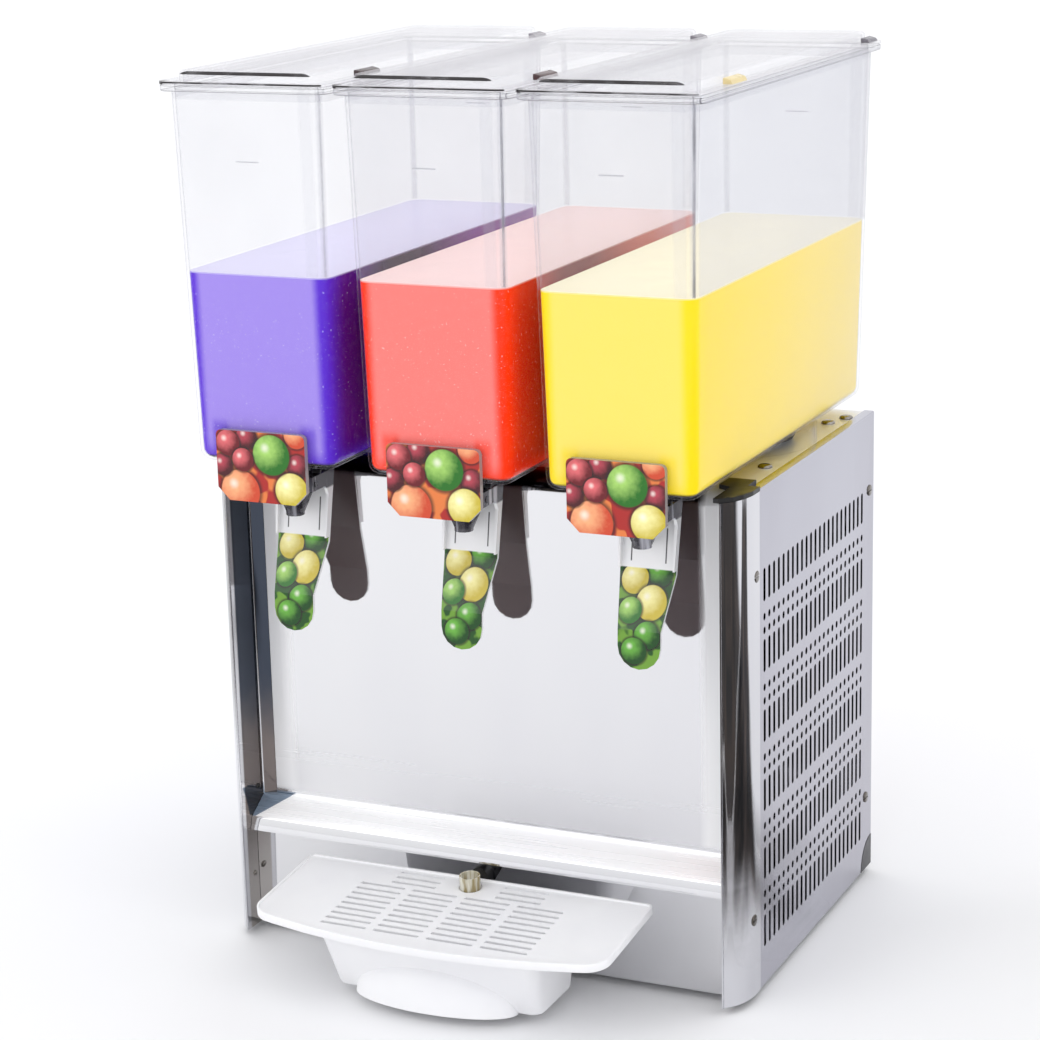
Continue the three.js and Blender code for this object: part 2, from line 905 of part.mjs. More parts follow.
function impeller(x) {
  const bottom = domeTop + clearance;
  const bore = pivotRadius + clearance;
  const hubProfile = [[0, bottom], [hubWall, bottom], [hubWall, hubTop], [0, hubTop]];
  const hub = ring(bore, hubProfile, x, domeY, boreSides);
  const reach = armInnerRadius + armThickness;
  const half = armWidth / 2;
  const barTop = bottom + clearance + barThickness;
  const bar = block(x - reach, x + reach, domeY - half, domeY + half, bottom + clearance, barTop);
  const gap = cylinderZ(bore + hubWall / 2, x, domeY, bottom - overrun, barTop + overrun, boreSides);
  const armBottomHeight = bowlBottom + bowlWall + armLift;
  const arms = [-1, 1].map((side) => {
    const inner = x + side * armInnerRadius;
    const outer = x + side * reach;
    return block(
      Math.min(inner, outer), Math.max(inner, outer), domeY - half, domeY + half, armBottomHeight, barTop
    );
  });
  return joined(cut(bar, gap), hub, ...arms);
}

function stirMotorRail() {
  const railTop = deckTop - sheet - clearance;
  const railBottom = railTop - railThickness;
  const half = railWidth / 2;
  const end = bowlPitch + railEnd;
  const magnetTop = domeTop - 2 * domeWall;
  const pieces = [block(-end, end, domeY - half, domeY + half, railBottom, railTop)];
  for (const side of [-1, 0, 1]) {
    const x = side * bowlPitch;
    pieces.push(cylinderZ(motorRadius, x, domeY, railTop - motorHeight, railTop, smallSides));
    pieces.push(cylinderZ(driveShaftRadius, x, domeY, railBottom, magnetTop, boreSides));
    pieces.push(cylinderZ(magnetRadius, x, domeY, magnetTop - magnetThickness, magnetTop, smallSides));
  }
  return joined(...pieces);
}

// Taps

function tapHousing(x) {
  const flangeBottom = housingTop - flangeThickness;
  const inner = cheekOuter - tapWall;
  const cheeks = [-1, 1].map((side) => {
    const near = x + side * inner;
    const far = x + side * cheekOuter;
    return block(
      Math.min(near, far), Math.max(near, far),
      frontY - cheekFrontReach, frontY + cheekRearDepth, cheekBottom, housingTop
    );
  });
  const pins = [-1, 1].map((side) => {
    const near = x + side * inner;
    const far = x + side * leverPinEnd;
    return cylinderX(
      leverPinRadius, leverPivotY, leverPivotHeight, Math.min(near, far), Math.max(near, far), boreSides
    );
  });
  const flange = block(
    x - flangeHalfWidth, x + flangeHalfWidth, frontY - flangeFrontReach, frontY + flangeRearDepth,
    flangeBottom, housingTop
  );
  const web = block(
    x - inner, x + inner, valveY - webThickness / 2, valveY + webThickness / 2, cheekBottom, housingTop
  );
  const tube = cylinderZ(tubeRadius, x, valveY, spoutBottom + spoutLength, housingTop, smallSides);
  const spout = cylinderZ(spoutRadius, x, valveY, spoutBottom, housingTop, smallSides);
  const ribs = prismY([
    [x - cheekOuter, ribTop],
    [x - spoutRadius, ribBottom],
    [x + spoutRadius, ribBottom],
    [x + cheekOuter, ribTop],
  ], valveY - ribThickness / 2, valveY + ribThickness / 2);
  const bore = cylinderZ(
    boreRadius, x, valveY, spoutBottom + seatHeight, housingTop + overrun, smallSides
  );
  const outlet = cylinderZ(
    seatRadius, x, valveY, spoutBottom - overrun, spoutBottom + seatHeight + overrun, boreSides
  );
  const windowHalf = crossPinRadius + clearance;
  const window = block(
    x - cheekOuter - overrun, x + cheekOuter + overrun, valveY - windowHalf, valveY + windowHalf,
    windowBottom, windowTop
  );
  const body = joined(flange, web, tube, spout, ribs, ...cheeks, ...pins);
  return cut(body, bore, outlet, window);
}

function valvePlunger(x) {
  const bottom = spoutBottom + seatHeight + clearance;
  const discTop = bottom + discThickness;
  const body = turned([
    [0, bottom],
    [plungerRadius, bottom],
    [plungerRadius, discTop],
    [stemRadius, discTop + discTaper],
    [stemRadius, headBottom - discTaper],
    [plungerRadius, headBottom],
    [plungerRadius, headTop],
    [0, headTop],
  ], x, valveY, smallSides);
  const pinHeight = armTop + clearance + crossPinRadius;
  const pin = cylinderX(
    crossPinRadius, valveY, pinHeight, x - crossPinHalfLength, x + crossPinHalfLength, boreSides
  );
  return joined(body, pin);
}

class Helix extends THREE.Curve {
  constructor(x, y, radius, z0, z1, turns) {
    super();
    Object.assign(this, { x, y, radius, z0, z1, turns });
  }

  getPoint(t) {
    const angle = t * this.turns * 2 * Math.PI;
    const across = this.x + this.radius * Math.cos(angle);
    const along = this.y + this.radius * Math.sin(angle);
    return new THREE.Vector3(across, along, this.z0 + (this.z1 - this.z0) * t);
  }

  getTangent(t) {
    const angle = t * this.turns * 2 * Math.PI;
    const swing = this.turns * 2 * Math.PI * this.radius;
    const run = new THREE.Vector3(-swing * Math.sin(angle), swing * Math.cos(angle), this.z1 - this.z0);
    return run.normalize();
  }
}

function springPath(x) {
  const rise = springWire / 2 + clearance;
  return new Helix(x, valveY, springRadius, headTop + rise, housingTop - springWire / 2, springTurns);
}

function valveSpring(x) {
  const section = new THREE.Shape(
    arc(0, 0, springWire / 2, 0, 2 * Math.PI, springSides).slice(1).map(([a, b]) => new THREE.Vector2(a, b))
  );
  return solid(new THREE.ExtrudeGeometry(section, {
    steps: springTurns * springStepsPerTurn,
    extrudePath: springPath(x),
    bevelEnabled: false,
    curveSegments: 1,
  }));
}

// Least distance between two turns of the wire, less the wire's own diameter
function springGap() {
  const steps = springTurns * springStepsPerTurn;
  const points = springPath(0).getPoints(steps);
  let least = Infinity;
  for (let i = 0; i < points.length; i++) {
    for (let j = i + springStepsPerTurn / 2; j < points.length; j++) {
      least = Math.min(least, points[i].distanceTo(points[j]));
    }
  }
  return least - springWire;
}

function labelPlate(x) {
  const back = wallAt(plateTop).front - clearance;
  const left = x - plateHalfWidth;
  const right = x + plateHalfWidth;
  const quarter = Math.PI / 2;
  const outline = [
    [left + plateChamfer, plateBottom],
    [right - plateChamfer, plateBottom],
    [right, plateBottom + plateChamfer],
    ...arc(right - plateCorner, plateTop - plateCorner, plateCorner, 0, quarter, filletSteps),
    ...arc(left + plateCorner, plateTop - plateCorner, plateCorner, quarter, 2 * quarter, filletSteps),
    [left, plateBottom + plateChamfer],
  ];
  return prismY(outline, back - plateThickness, back);
}

function leverProfile() {
  return [
    [frontY + leverTopDepth, leverTop],
    [frontY + leverWaistDepth, leverWaist],
    [frontY - leverKneeReach, leverKnee],
    [frontY - leverTipReach, leverTip],
  ];
}

function leverOutline(x) {
  const tipCenter = leverTip + leverKneeHalfWidth;
  return [
    [x - leverHalfWidth, leverTop],
    [x - leverWaistHalfWidth, leverWaist],
    [x - leverKneeHalfWidth, leverKnee],
    ...arc(x, tipCenter, leverKneeHalfWidth, Math.PI, 2 * Math.PI, leverTipSteps),
    [x + leverKneeHalfWidth, leverKnee],
    [x + leverWaistHalfWidth, leverWaist],
    [x + leverHalfWidth, leverTop],
  ];
}

// Depth of the blade's front face above its waist
function bladeFront(z) {
  const share = (z - leverWaist) / (leverTop - leverWaist);
  return frontY + leverWaistDepth + (leverTopDepth - leverWaistDepth) * share;
}

function lever(x) {
  const blade = prismX(strip(leverProfile(), leverThickness), x - leverHalfWidth, x + leverHalfWidth);
  const front = frontY - leverTipReach - overrun;
  const rear = frontY + leverTopDepth + leverThickness + overrun;
  const trimmed = blade.intersect(prismY(leverOutline(x), front, rear));
  const armOutline = [
    [frontY - armFrontReach, armBottom],
    [bladeFront(ribElbow) - ribElbowDepth - ribRearReach, armBottom],
    [bladeFront(ribElbow) - ribElbowDepth, ribElbow],
    [bladeFront(leverWaist) - ribRearReach, leverWaist + ribRearReach],
    [bladeFront(leverWaist) + leverThickness / 2, leverWaist + ribRearReach],
    [bladeFront(armTop) + leverThickness / 2, armTop],
    [frontY - armFrontReach, armTop],
  ];
  const arms = [-1, 1].map((side) => {
    const near = x + side * armInner;
    const far = x + side * leverHalfWidth;
    return prismX(armOutline, Math.min(near, far), Math.max(near, far));
  });
  const limit = prismY(leverArmLimit(x), frontY - armFrontReach - overrun, rear);
  const slimmed = arms.map((arm) => arm.intersect(limit));
  const holeEnd = leverHalfWidth + overrun;
  const hole = cylinderX(
    leverHoleRadius, leverPivotY, leverPivotHeight, x - holeEnd, x + holeEnd, boreSides
  );
  return cut(joined(trimmed, ...slimmed), hole);
}

// The arms narrow with the blade towards its waist
function leverArmLimit(x) {
  return [
    [x - leverHalfWidth, leverTop],
    [x - leverHalfWidth, ribElbow],
    [x - leverWaistHalfWidth, leverWaist],
    [x + leverWaistHalfWidth, leverWaist],
    [x + leverHalfWidth, ribElbow],
    [x + leverHalfWidth, leverTop],
  ];
}

// Drip tray

// The front edge is one wide arc that bows forward between the two front corners
function trayOutline(inset) {
  const half = trayHalfWidth - inset;
  const back = -inset;
  const quarter = Math.PI / 2;
  const frontRadius = trayFrontCorner - inset;
  const backRadius = trayBackCorner - inset;
  const bowRadius = (trayHalfWidth ** 2 + trayBow ** 2) / (2 * trayBow);
  const bowCenter = -trayLength - trayBow + bowRadius;
  const cornerX = half - frontRadius;
  const between = bowRadius - inset - frontRadius;
  const cornerY = bowCenter - Math.sqrt(between ** 2 - cornerX ** 2);
  const turn = Math.asin(cornerX / between);
  const bowArc = arc(0, bowCenter, bowRadius - inset, -quarter - turn, -quarter + turn, trayBowSteps);
  return [
    ...bowArc,
    ...arc(cornerX, cornerY, frontRadius, -quarter + turn, 0, trayCornerSteps).slice(1),
    ...arc(half - backRadius, back - backRadius, backRadius, 0, quarter, trayCornerSteps),
    ...arc(-half + backRadius, back - backRadius, backRadius, quarter, 2 * quarter, trayCornerSteps),
    ...arc(-cornerX, cornerY, frontRadius, 2 * quarter, 3 * quarter - turn, trayCornerSteps).slice(0, -1),
  ];
}

function drainSlots() {
  const slots = [];
  const columnLength = (2 * drainHalfWidth - (drainColumns - 1) * drainColumnGap) / drainColumns;
  const frontRow = -trayLength + drainFront;
  const under = -trayRecess - trayPlate - overrun;
  const over = -trayRecess + overrun;
  const push = (x0, x1, y) => {
    slots.push(block(x0, x1, y - drainSlotWidth / 2, y + drainSlotWidth / 2, under, over));
  };
  for (let row = 0; row < drainRows; row++) {
    for (let column = 0; column < drainColumns; column++) {
      const x0 = -drainHalfWidth + column * (columnLength + drainColumnGap);
      push(x0, x0 + columnLength, frontRow + row * drainPitch);
    }
  }
  for (let row = drainRows; row < drainRows + drainRearRows; row++) {
    const y = frontRow + row * drainPitch;
    push(drainRearHalfWidth - columnLength, drainRearHalfWidth, y);
    push(-drainRearHalfWidth, -drainRearHalfWidth + columnLength, y);
  }
  return slots;
}

// Built flat, with its back edge on the X axis and its rim at zero height
function dripTrayGrille() {
  const whole = prismZ(trayOutline(0), -traySkirt, 0);
  const above = prismZ(trayOutline(trayRim), -trayRecess, overrun);
  const below = prismZ(trayOutline(trayRim), -traySkirt - overrun, -trayRecess - trayPlate);
  const well = cylinderZ(trayHoleRadius, 0, -trayHoleBack, -trayRecess - trayWell, overrun, smallSides);
  return cut(whole, above, below, well, ...drainSlots());
}

// Height of a plane below the tilted tray's plate, at a place along Y
function underTray(y, drop) {
  const along = (y - trayBackY) / Math.cos(tilt);
  return trayBackHeight + along * Math.sin(tilt) - drop / Math.cos(tilt);
}

function basinForm(inset, bottom, drop, lip = 0) {
  const grow = (share) => basinFlare * share - inset;
  const level = (share, heightAt, extra = 0) => roundedRing(
    -basinHalfWidth - grow(share) - extra,
    basinHalfWidth + grow(share) + extra,
    frontY - basinFrontReach - basinFrontFlare * share + inset - extra,
    frontY - basinRearReach + basinRearFlare * share - inset + extra,
    basinCorner - inset / 2,
    heightAt
  );
  const under = (y) => underTray(y, drop);
  if (lip === 0) return loft([level(0, () => bottom), level(1, under)]);
  return loft([level(1, (y) => under(y) - basinWall, lip), level(1, under, lip)]);
}

function belly(inset) {
  const reach = bellyReach - basinFrontReach;
  const geometry = new THREE.SphereGeometry(1, hiddenSides, smallSides);
  geometry.rotateX(Math.PI / 2);
  geometry.scale(bellyHalfWidth - inset, reach - inset, bellyHeight - inset);
  geometry.translate(0, frontY - basinFrontReach, basinBottom);
  return solid(geometry);
}

function dripTrayBasin() {
  const drop = trayRecess + trayPlate + clearance;
  const lowest = basinBottom - bellyHeight - overrun;
  const foremost = frontY - bellyReach - overrun;
  const under = (top) => block(-trayHalfWidth, trayHalfWidth, foremost, frontY, lowest, top);
  const box = basinForm(0, basinBottom, drop);
  const lip = basinForm(0, basinBottom, drop, basinLip);
  const outer = cut(joined(box, lip, belly(0)), under(basinBottom));
  const inner = joined(basinForm(basinWall, basinBottom, drop - overrun), belly(basinWall));
  return cut(outer, cut(inner, under(basinBottom + basinWall)));
}

// Compressor, condenser and fan

function compressor() {
  const bottom = panFloor + clearance;
  const top = bottom + compressorHeight;
  const shoulder = arc(
    compressorRadius - compressorRound, top - compressorRound, compressorRound, 0, Math.PI / 2, cornerSteps
  );
  return turned(
    [[0, bottom], [compressorRadius, bottom], ...shoulder, [0, top]],
    compressorX, frontY + compressorDepth, hiddenSides
  );
}

function condenser() {
  const x1 = condenserOuter;
  const y0 = frontY + condenserFrontDepth;
  const y1 = frontY + condenserRearDepth;
  const pitch = (y1 - y0 - finThickness) / (condenserFins - 1);
  const outline = [[x1, y1], [condenserInner, y1], [condenserInner, y0]];
  for (let fin = 0; fin < condenserFins; fin++) {
    const y = y0 + fin * pitch;
    if (fin > 0) outline.push([x1 - finDepth, y], [x1, y]);
    else outline.push([x1, y]);
    if (fin < condenserFins - 1) outline.push([x1, y + finThickness], [x1 - finDepth, y + finThickness]);
  }
  const bottom = panFloor + clearance;
  return prismZ(outline, bottom, bottom + condenserHeight);
}

function condenserFan() {
  const y = frontY + fanDepth;
  const half = fanHubLength / 2;
  const hub = cylinderX(fanHubRadius, y, fanHeight, fanX - half, fanX + half, smallSides);
  const bore = cylinderX(
    fanShaftRadius + clearance, y, fanHeight, fanX - half - overrun, fanX + half + overrun
  );
  const blades = [];
  for (let i = 0; i < fanBlades; i++) {
    const length = fanRadius - fanHubRadius / 2;
    const geometry = new THREE.BoxGeometry(bladeThickness, bladeChord, length);
    geometry.rotateZ(THREE.MathUtils.degToRad(bladePitch));
    geometry.translate(0, 0, fanHubRadius / 2 + length / 2);
    geometry.rotateX((2 * Math.PI * i) / fanBlades);
    geometry.translate(fanX, y, fanHeight);
    blades.push(solid(geometry));
  }
  return cut(joined(hub, ...blades), bore);
}

function fanMotor() {
  const y = frontY + fanDepth;
  const hubFace = fanX - fanHubLength / 2;
  const motorFront = hubFace - fanMotorGap;
  const motorRear = motorFront - fanMotorLength;
  const bottom = panFloor + clearance;
  const can = cylinderX(fanMotorRadius, y, fanHeight, motorRear, motorFront, smallSides);
  const shaft = cylinderX(fanShaftRadius, y, fanHeight, motorRear, fanX + fanHubLength / 2);
  const middle = (motorRear + motorFront) / 2;
  const stand = block(
    middle - standThickness / 2, middle + standThickness / 2, y - standWidth / 2, y + standWidth / 2,
    bottom, fanHeight
  );
  const sole = block(
    motorRear, motorFront, y - standWidth / 2, y + standWidth / 2, bottom, bottom + standThickness
  );
  return joined(can, shaft, stand, sole);
}

// Controls on the rear panel

function powerSwitch() {
  const half = switchHalfHeight;
  const outline = [
    [rearY - switchRear, controlsHeight - half],
    [rearY + switchProud, controlsHeight - half],
    [rearY, controlsHeight],
    [rearY, controlsHeight + half],
    [rearY - switchRear, controlsHeight + half],
  ];
  return prismX(outline, switchX - switchHalfWidth, switchX + switchHalfWidth);
}

function thermostatKnob() {
  const front = rearY + clearance;
  const grip = cylinderY(knobRadius, knobX, controlsHeight, front, front + knobLength, roundSides);
  const spindle = cylinderY(
    spindleRadius, knobX, controlsHeight, controlPanelFront - spindleLength, front + knobLength / 2
  );
  const pointer = block(
    knobX - knobPointer / 2, knobX + knobPointer / 2, front, front + knobLength + knobPointer / 2,
    controlsHeight, controlsHeight + knobRadius
  );
  return joined(grip, spindle, pointer);
}

function powerInlet() {
  const rear = rearY + clearance;
  const tip = rear + inletFlangeThickness;
  const x0 = inletX - inletHalfWidth;
  const x1 = inletX + inletHalfWidth;
  const z0 = controlsHeight - inletHalfHeight;
  const z1 = controlsHeight + inletHalfHeight;
  const body = block(x0, x1, rear - inletLength, tip, z0, z1);
  const flange = block(x0 - inletFlange, x1 + inletFlange, rear, tip, z0 - inletFlange, z1 + inletFlange);
  const recess = block(
    x0 + inletWall, x1 - inletWall, rear - inletLength + inletWall, tip + overrun,
    z0 + inletWall, z1 - inletWall
  );
  const blades = [-1, 0, 1].map((side) => {
    const x = inletX + side * inletBladePitch;
    return block(
      x - inletBlade / 2, x + inletBlade / 2, rear - inletLength + inletWall / 2, rear,
      controlsHeight - inletBladeHeight / 2, controlsHeight + inletBladeHeight / 2
    );
  });
  return joined(cut(joined(body, flange), recess), ...blades);
}

// Assembly

add("base_pan", basePan(), galvanised);
add("front_panel", frontPanel(), mirrorSteel);
add("lower_front_panel", lowerFrontPanel(), mirrorSteel);
add("tray_hook", trayHook(), blackPlastic);
add("corner_column_right", cornerColumn(), mirrorSteel);
add("corner_column_left", mirroredX(cornerColumn()), mirrorSteel);
add("column_cap_right", columnCap(), blackPlastic);
add("column_cap_left", mirroredX(columnCap()), blackPlastic);
add("side_panel_right", sidePanel(), satinSteel);
add("side_panel_left", mirroredX(sidePanel()), satinSteel);
add("rear_panel", rearPanel(), satinSteel);
add("rear_base_trim", rearTrim(), darkPlastic);
add("top_deck", topDeck(), mirrorSteel);

const footX = sideX - footInset;
add("foot_front_left", foot(-footX, frontY + footFrontDepth), rubber);
add("foot_front_right", foot(footX, frontY + footFrontDepth), rubber);
add("foot_rear_left", foot(-footX, frontY + footRearDepth), rubber);
add("foot_rear_right", foot(footX, frontY + footRearDepth), rubber);

const stations = [
  { name: "left", x: -bowlPitch, juiceColor: 0x8f3cc4 },
  { name: "middle", x: 0, juiceColor: 0xe8402f },
  { name: "right", x: bowlPitch, juiceColor: 0xf2cf1d },
];
for (const { name, x, juiceColor } of stations) {
  add(`bowl_${name}`, bowl(x), clearPlastic);
  add(`lid_${name}`, lid(x), clearPlastic);
  add(`juice_${name}`, juice(x), clear(juiceColor, 0.9));
  add(`evaporator_dome_${name}`, evaporatorDome(x), mirrorSteel);
  add(`bowl_seal_${name}`, bowlSeal(x), rubber);
  add(`impeller_${name}`, impeller(x), whitePlastic);
  add(`tap_housing_${name}`, tapHousing(x), clearPlastic);
  add(`valve_plunger_${name}`, valvePlunger(x), darkPlastic);
  add(`valve_spring_${name}`, valveSpring(x), mirrorSteel);
  add(`label_plate_${name}`, labelPlate(x), plateFace);
  add(`lever_${name}`, lever(x), clear(0x9c9486, 0.8));
}
console.log(`least gap between turns of a valve spring: ${springGap().toFixed(2)} mm`);

const trayGroup = new THREE.Group();
trayGroup.position.set(0, trayBackY, trayBackHeight);
trayGroup.rotation.x = tilt;
addTo(trayGroup, "drip_tray_grille", dripTrayGrille(), whitePlastic);
model.add(trayGroup);
add("drip_tray_basin", dripTrayBasin(), whitePlastic);

add("stir_motor_rail", stirMotorRail(), galvanised);
add("compressor", compressor(), blackPaint);
add("condenser", condenser(), aluminium);
add("condenser_fan", condenserFan(), blackPlastic);
add("fan_motor", fanMotor(), galvanised);
add("power_switch", powerSwitch(), blackPlastic);
add("thermostat_knob", thermostatKnob(), blackPlastic);
add("power_inlet", powerInlet(), blackPlastic);

export default model;
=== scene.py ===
import bmesh
import bpy
import math
from contextlib import contextmanager
from mathutils import Matrix, Vector


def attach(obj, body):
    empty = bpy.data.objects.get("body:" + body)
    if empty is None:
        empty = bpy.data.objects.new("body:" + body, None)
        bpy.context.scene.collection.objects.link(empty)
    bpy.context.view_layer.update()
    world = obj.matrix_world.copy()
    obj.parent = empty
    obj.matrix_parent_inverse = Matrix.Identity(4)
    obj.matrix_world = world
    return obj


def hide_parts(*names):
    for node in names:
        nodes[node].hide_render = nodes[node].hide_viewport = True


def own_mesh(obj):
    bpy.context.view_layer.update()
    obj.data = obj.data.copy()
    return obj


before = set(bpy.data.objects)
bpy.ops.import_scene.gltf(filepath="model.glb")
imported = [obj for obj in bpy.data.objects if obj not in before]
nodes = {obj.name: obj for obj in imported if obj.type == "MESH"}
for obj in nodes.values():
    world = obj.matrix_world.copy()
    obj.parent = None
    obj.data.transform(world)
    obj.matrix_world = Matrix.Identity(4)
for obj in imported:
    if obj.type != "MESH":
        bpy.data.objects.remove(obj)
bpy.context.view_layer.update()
scene = bpy.context.scene
sides = ("left", "middle", "right")

# Sizes in metres, in the same frame as the solids, with the corners and steps of round forms

bowl_pitch = 0.1405
bowl_shifts = {"left": -bowl_pitch, "middle": 0, "right": bowl_pitch}
bowls_half = len(sides) * bowl_pitch / 2
bowl_bottom = 0.3975
bowl_bottom_half = 0.058
bowl_bottom_front = -0.1592
bowl_bottom_rear = 0.2103
bowl_top_half = 0.0629
bowl_top_front = -0.1652
bowl_top_rear = 0.2207
rim_low = 0.6713
rim_top = 0.676
rim_half = 0.0689
rim_front = -0.1712
rim_rear = 0.2267
rim_round = 0.0012
bowl_wall = 0.0016
bowl_corner = 0.010
bowl_fillet = 0.009
inner_fillet = 0.007
fillet_steps = 5
rim_steps = 2
dome_y = 0.0687
dome_hole = 0.0435
collar_radius = 0.0645
collar_low = 0.3887
collar_top = 0.4015
port_radius = 0.004
collar_corners = 64
port_corners = 24
valve_y = -0.1167

juice_low = 0.3994
juice_level = 0.540
juice_bottom_half = 0.0560
juice_bottom_front = -0.1572
juice_bottom_rear = 0.2083
juice_top_half = 0.05855
juice_top_front = -0.1603
juice_top_rear = 0.2137
juice_corner = 0.0095
juice_fillet = 0.0075
juice_hollow = 0.0438
juice_hollow_top = 0.513

lid_low = 0.6763
lid_flange_top = 0.6784
lid_shoulder = 0.6837
lid_top = 0.6853
lid_wall = 0.002
crown_half = 0.0567
crown_front = -0.1627
crown_rear = 0.2233
crown_bevel = 0.0016
lid_corner = 0.009

side_x = 0.215
panel_face = 0.2139
sheet = 0.0015
cabinet_bottom = 0.006
deck_top = 0.3884
flange_top = 0.3894
flange_inner = 0.206
panel_front = -0.0758
panel_rear = 0.1937
trim_radius = 0.0258
panel_bends = {1: (0.0012, 3)}

slot_columns = 23
slot_rows = 6
slot_first_y = -0.0652
slot_pitch = 0.0104
slot_first_z = 0.036
slot_row_pitch = 0.05358
slot_height = 0.025
slot_width = 0.0048
slot_corners = 12
dot_height = 0.0056
dot_drops = (0.0366, 0.0470)

panel_edge = 0.1899
lower_edge = 0.1991
return_face = 0.1994

# The places of the folds along each sheet, and by their number their radius and steps

column_path = (
    (0.1902, -0.0797), (return_face, -0.0844), (return_face, -0.1209), (0.2024, -0.1158),
    (0.2073, -0.1114), (0.212, -0.1025), (0.2144, -0.0905), (0.2146, -0.0770),
)
column_bends = {
    1: (0.001, 2), 2: (0.0022, 5), 3: (0.0012, 2), 4: (0.0022, 3), 5: (0.0040, 3), 6: (0.0040, 3),
}
front_path = ((-0.059, deck_top), (-0.0797, deck_top), (-0.0797, 0.1101))
front_bends = {1: (0.014, 10)}
lower_path = (
    (-0.0717, 0.1098), (-0.0845, 0.1098), (-0.1047, 0.0972), (-0.1078, 0.0867), (-0.0977, 0.086),
    (-0.0977, cabinet_bottom), (-0.0770, cabinet_bottom),
)
lower_bends = {1: (0.0010, 2), 2: (0.0010, 3), 3: (0.0006, 2), 4: (0.0006, 2), 5: (0.0015, 3)}

tray_back_y = -0.1103
tray_back_z = 0.0764
tray_half = 0.1435
tray_length = 0.0979
tray_bow = 0.01898
tray_bow_corners = 112
tray_tilt = math.radians(5.2)
tray_skirt = 0.0065
tray_rim = 0.0022
tray_recess = 0.0012
tray_plate = 0.002
tray_front_corner = 0.014
tray_back_corner = 0.005
tray_front_steps = 8
tray_back_steps = 5
tray_edge_round = 0.0007
drain_half = 0.084
drain_gap = 0.006
drain_columns = 4
drain_rows = 9
drain_rear_rows = 3
drain_pitch = 0.0082
drain_width = 0.0032
drain_front = 0.0007
drain_rear_half = 0.062
well_radius = 0.009
well_back = 0.0144
well_depth = 0.0012
well_corners = 32

basin_low = 0.008
basin_half = 0.084
basin_front = -0.1867
basin_rear = -0.1247
basin_top_half = 0.089
basin_top_front = -0.2117
basin_top_rear = -0.1177
basin_wall = 0.002
basin_corner = 0.009
basin_lip = 0.004
basin_gap = 0.0003
basin_fillet = 0.003
basin_steps = 3
belly_half = 0.066
belly_reach = 0.0246
belly_height = 0.036
belly_corners = 48
belly_rings = 24

spring_radius = 0.0049
spring_wire = 0.001
spring_low = 0.3888
spring_high = 0.3967
spring_turns = 3
wire_corners = 10
coil_steps = 96
coil_merge = 0.00001
coil_angle = 50

side_screws = (
    (side_x, -0.0827, 0.3270),
    (side_x, -0.0889, 0.0660),
    (side_x, 0.1826, 0.3270),
    (side_x, 0.1786, 0.0687),
)
screw_radius = 0.0045
screw_height = 0.0011
screw_slot = 0.0009
screw_corners = 28
screw_dome_share = 0.7
screw_steps = 3
return_screws = ((-0.0931, 0.1185), (-0.1040, 0.0490))
return_screw_radius = 0.0022
deck_level = 0.3874
studs = ((0.194, -0.0077), (0.192, 0.1443), (0.200, 0.1653))
stud_radius = 0.0055
stud_height = 0.0032
stud_corners = 32
stud_dome_share = 0.6
stud_steps = 4
lid_hooks = (("front", -0.1087, -0.0797, 0.0045), ("rear", 0.1950, 0.2160, 0.0038))
hook_inner = 0.0600
hook_outer = 0.0668
hook_round = 0.0014
hook_steps = 3
float_radius = 0.0080
float_height = 0.0115
float_wall = 0.0010
float_corners = 40
float_edge_share = 0.25
float_edge_angle = 60

tiny = 0.00005
near_share = 0.9
overrun = 0.002
merge_reach = 0.000005
rod_corners = 48
edge_steps = 2
smooth_angle = 30
sheet_angle = 40
quarter_turn = math.pi / 2


# Camera

camera_place = (0.8636617, -1.8848462, 0.8770736)
camera_right = (0.9099159, 0.4140740, -0.0244084)
camera_down = (0.0842893, -0.2421988, -0.9665584)
camera_forward = (-0.4061384, 0.8774294, -0.2552826)
camera_lens = 96.37
camera_sensor = 36
camera_reach = 50

camera_data = bpy.data.cameras.new("camera")
camera = bpy.data.objects.new("camera", camera_data)
scene.collection.objects.link(camera)
camera_up, camera_back = ([-share for share in way] for way in (camera_down, camera_forward))
camera_turn = Matrix((camera_right, camera_up, camera_back))
camera.matrix_world = Matrix.Translation(camera_place) @ camera_turn.transposed().to_4x4()
camera_data.lens = camera_lens
camera_data.sensor_width = camera_sensor
camera_data.clip_end = camera_reach
scene.camera = camera


# Ways of working

def take(piece):
    bpy.ops.object.select_all(action="DESELECT")
    piece.select_set(True)
    bpy.context.view_layer.objects.active = piece


def settle(piece):
    take(piece)
    bpy.ops.object.transform_apply(location=True, rotation=True, scale=True)
    return piece


@contextmanager
def shaping(piece):
    """The piece is in edit mode for as long as this lasts."""
    take(piece)
    bpy.ops.object.mode_set(mode="EDIT")
    yield
    bpy.ops.object.mode_set(mode="OBJECT")


def choose(piece, kind, wanted):
    bpy.ops.mesh.select_all(action="DESELECT")
    bpy.ops.mesh.select_mode(type=kind)
    form = bmesh.from_edit_mesh(piece.data)
    parts = {"FACE": form.faces, "EDGE": form.edges, "VERT": form.verts}[kind]
    for part in parts:
        if wanted(part):
            part.select_set(True)
    form.select_flush_mode()
    bmesh.update_edit_mesh(piece.data)


def whole(edge, test):
    return all(test(corner.co) for corner in edge.verts)


def runs_along(axis):
    def wanted(edge):
        reach = edge.verts[1].co - edge.verts[0].co
        return abs(reach.normalized()[axis]) > near_share
    return wanted


def at_height(height):
    return lambda edge: whole(edge, lambda place: abs(place.z - height) < tiny)


def fresh(name, add, **given):
    """A new piece, made by one of Blender's own calls."""
    bpy.ops.object.select_all(action="DESELECT")
    add(**given)
    piece = bpy.context.object
    piece.name = name
    return piece


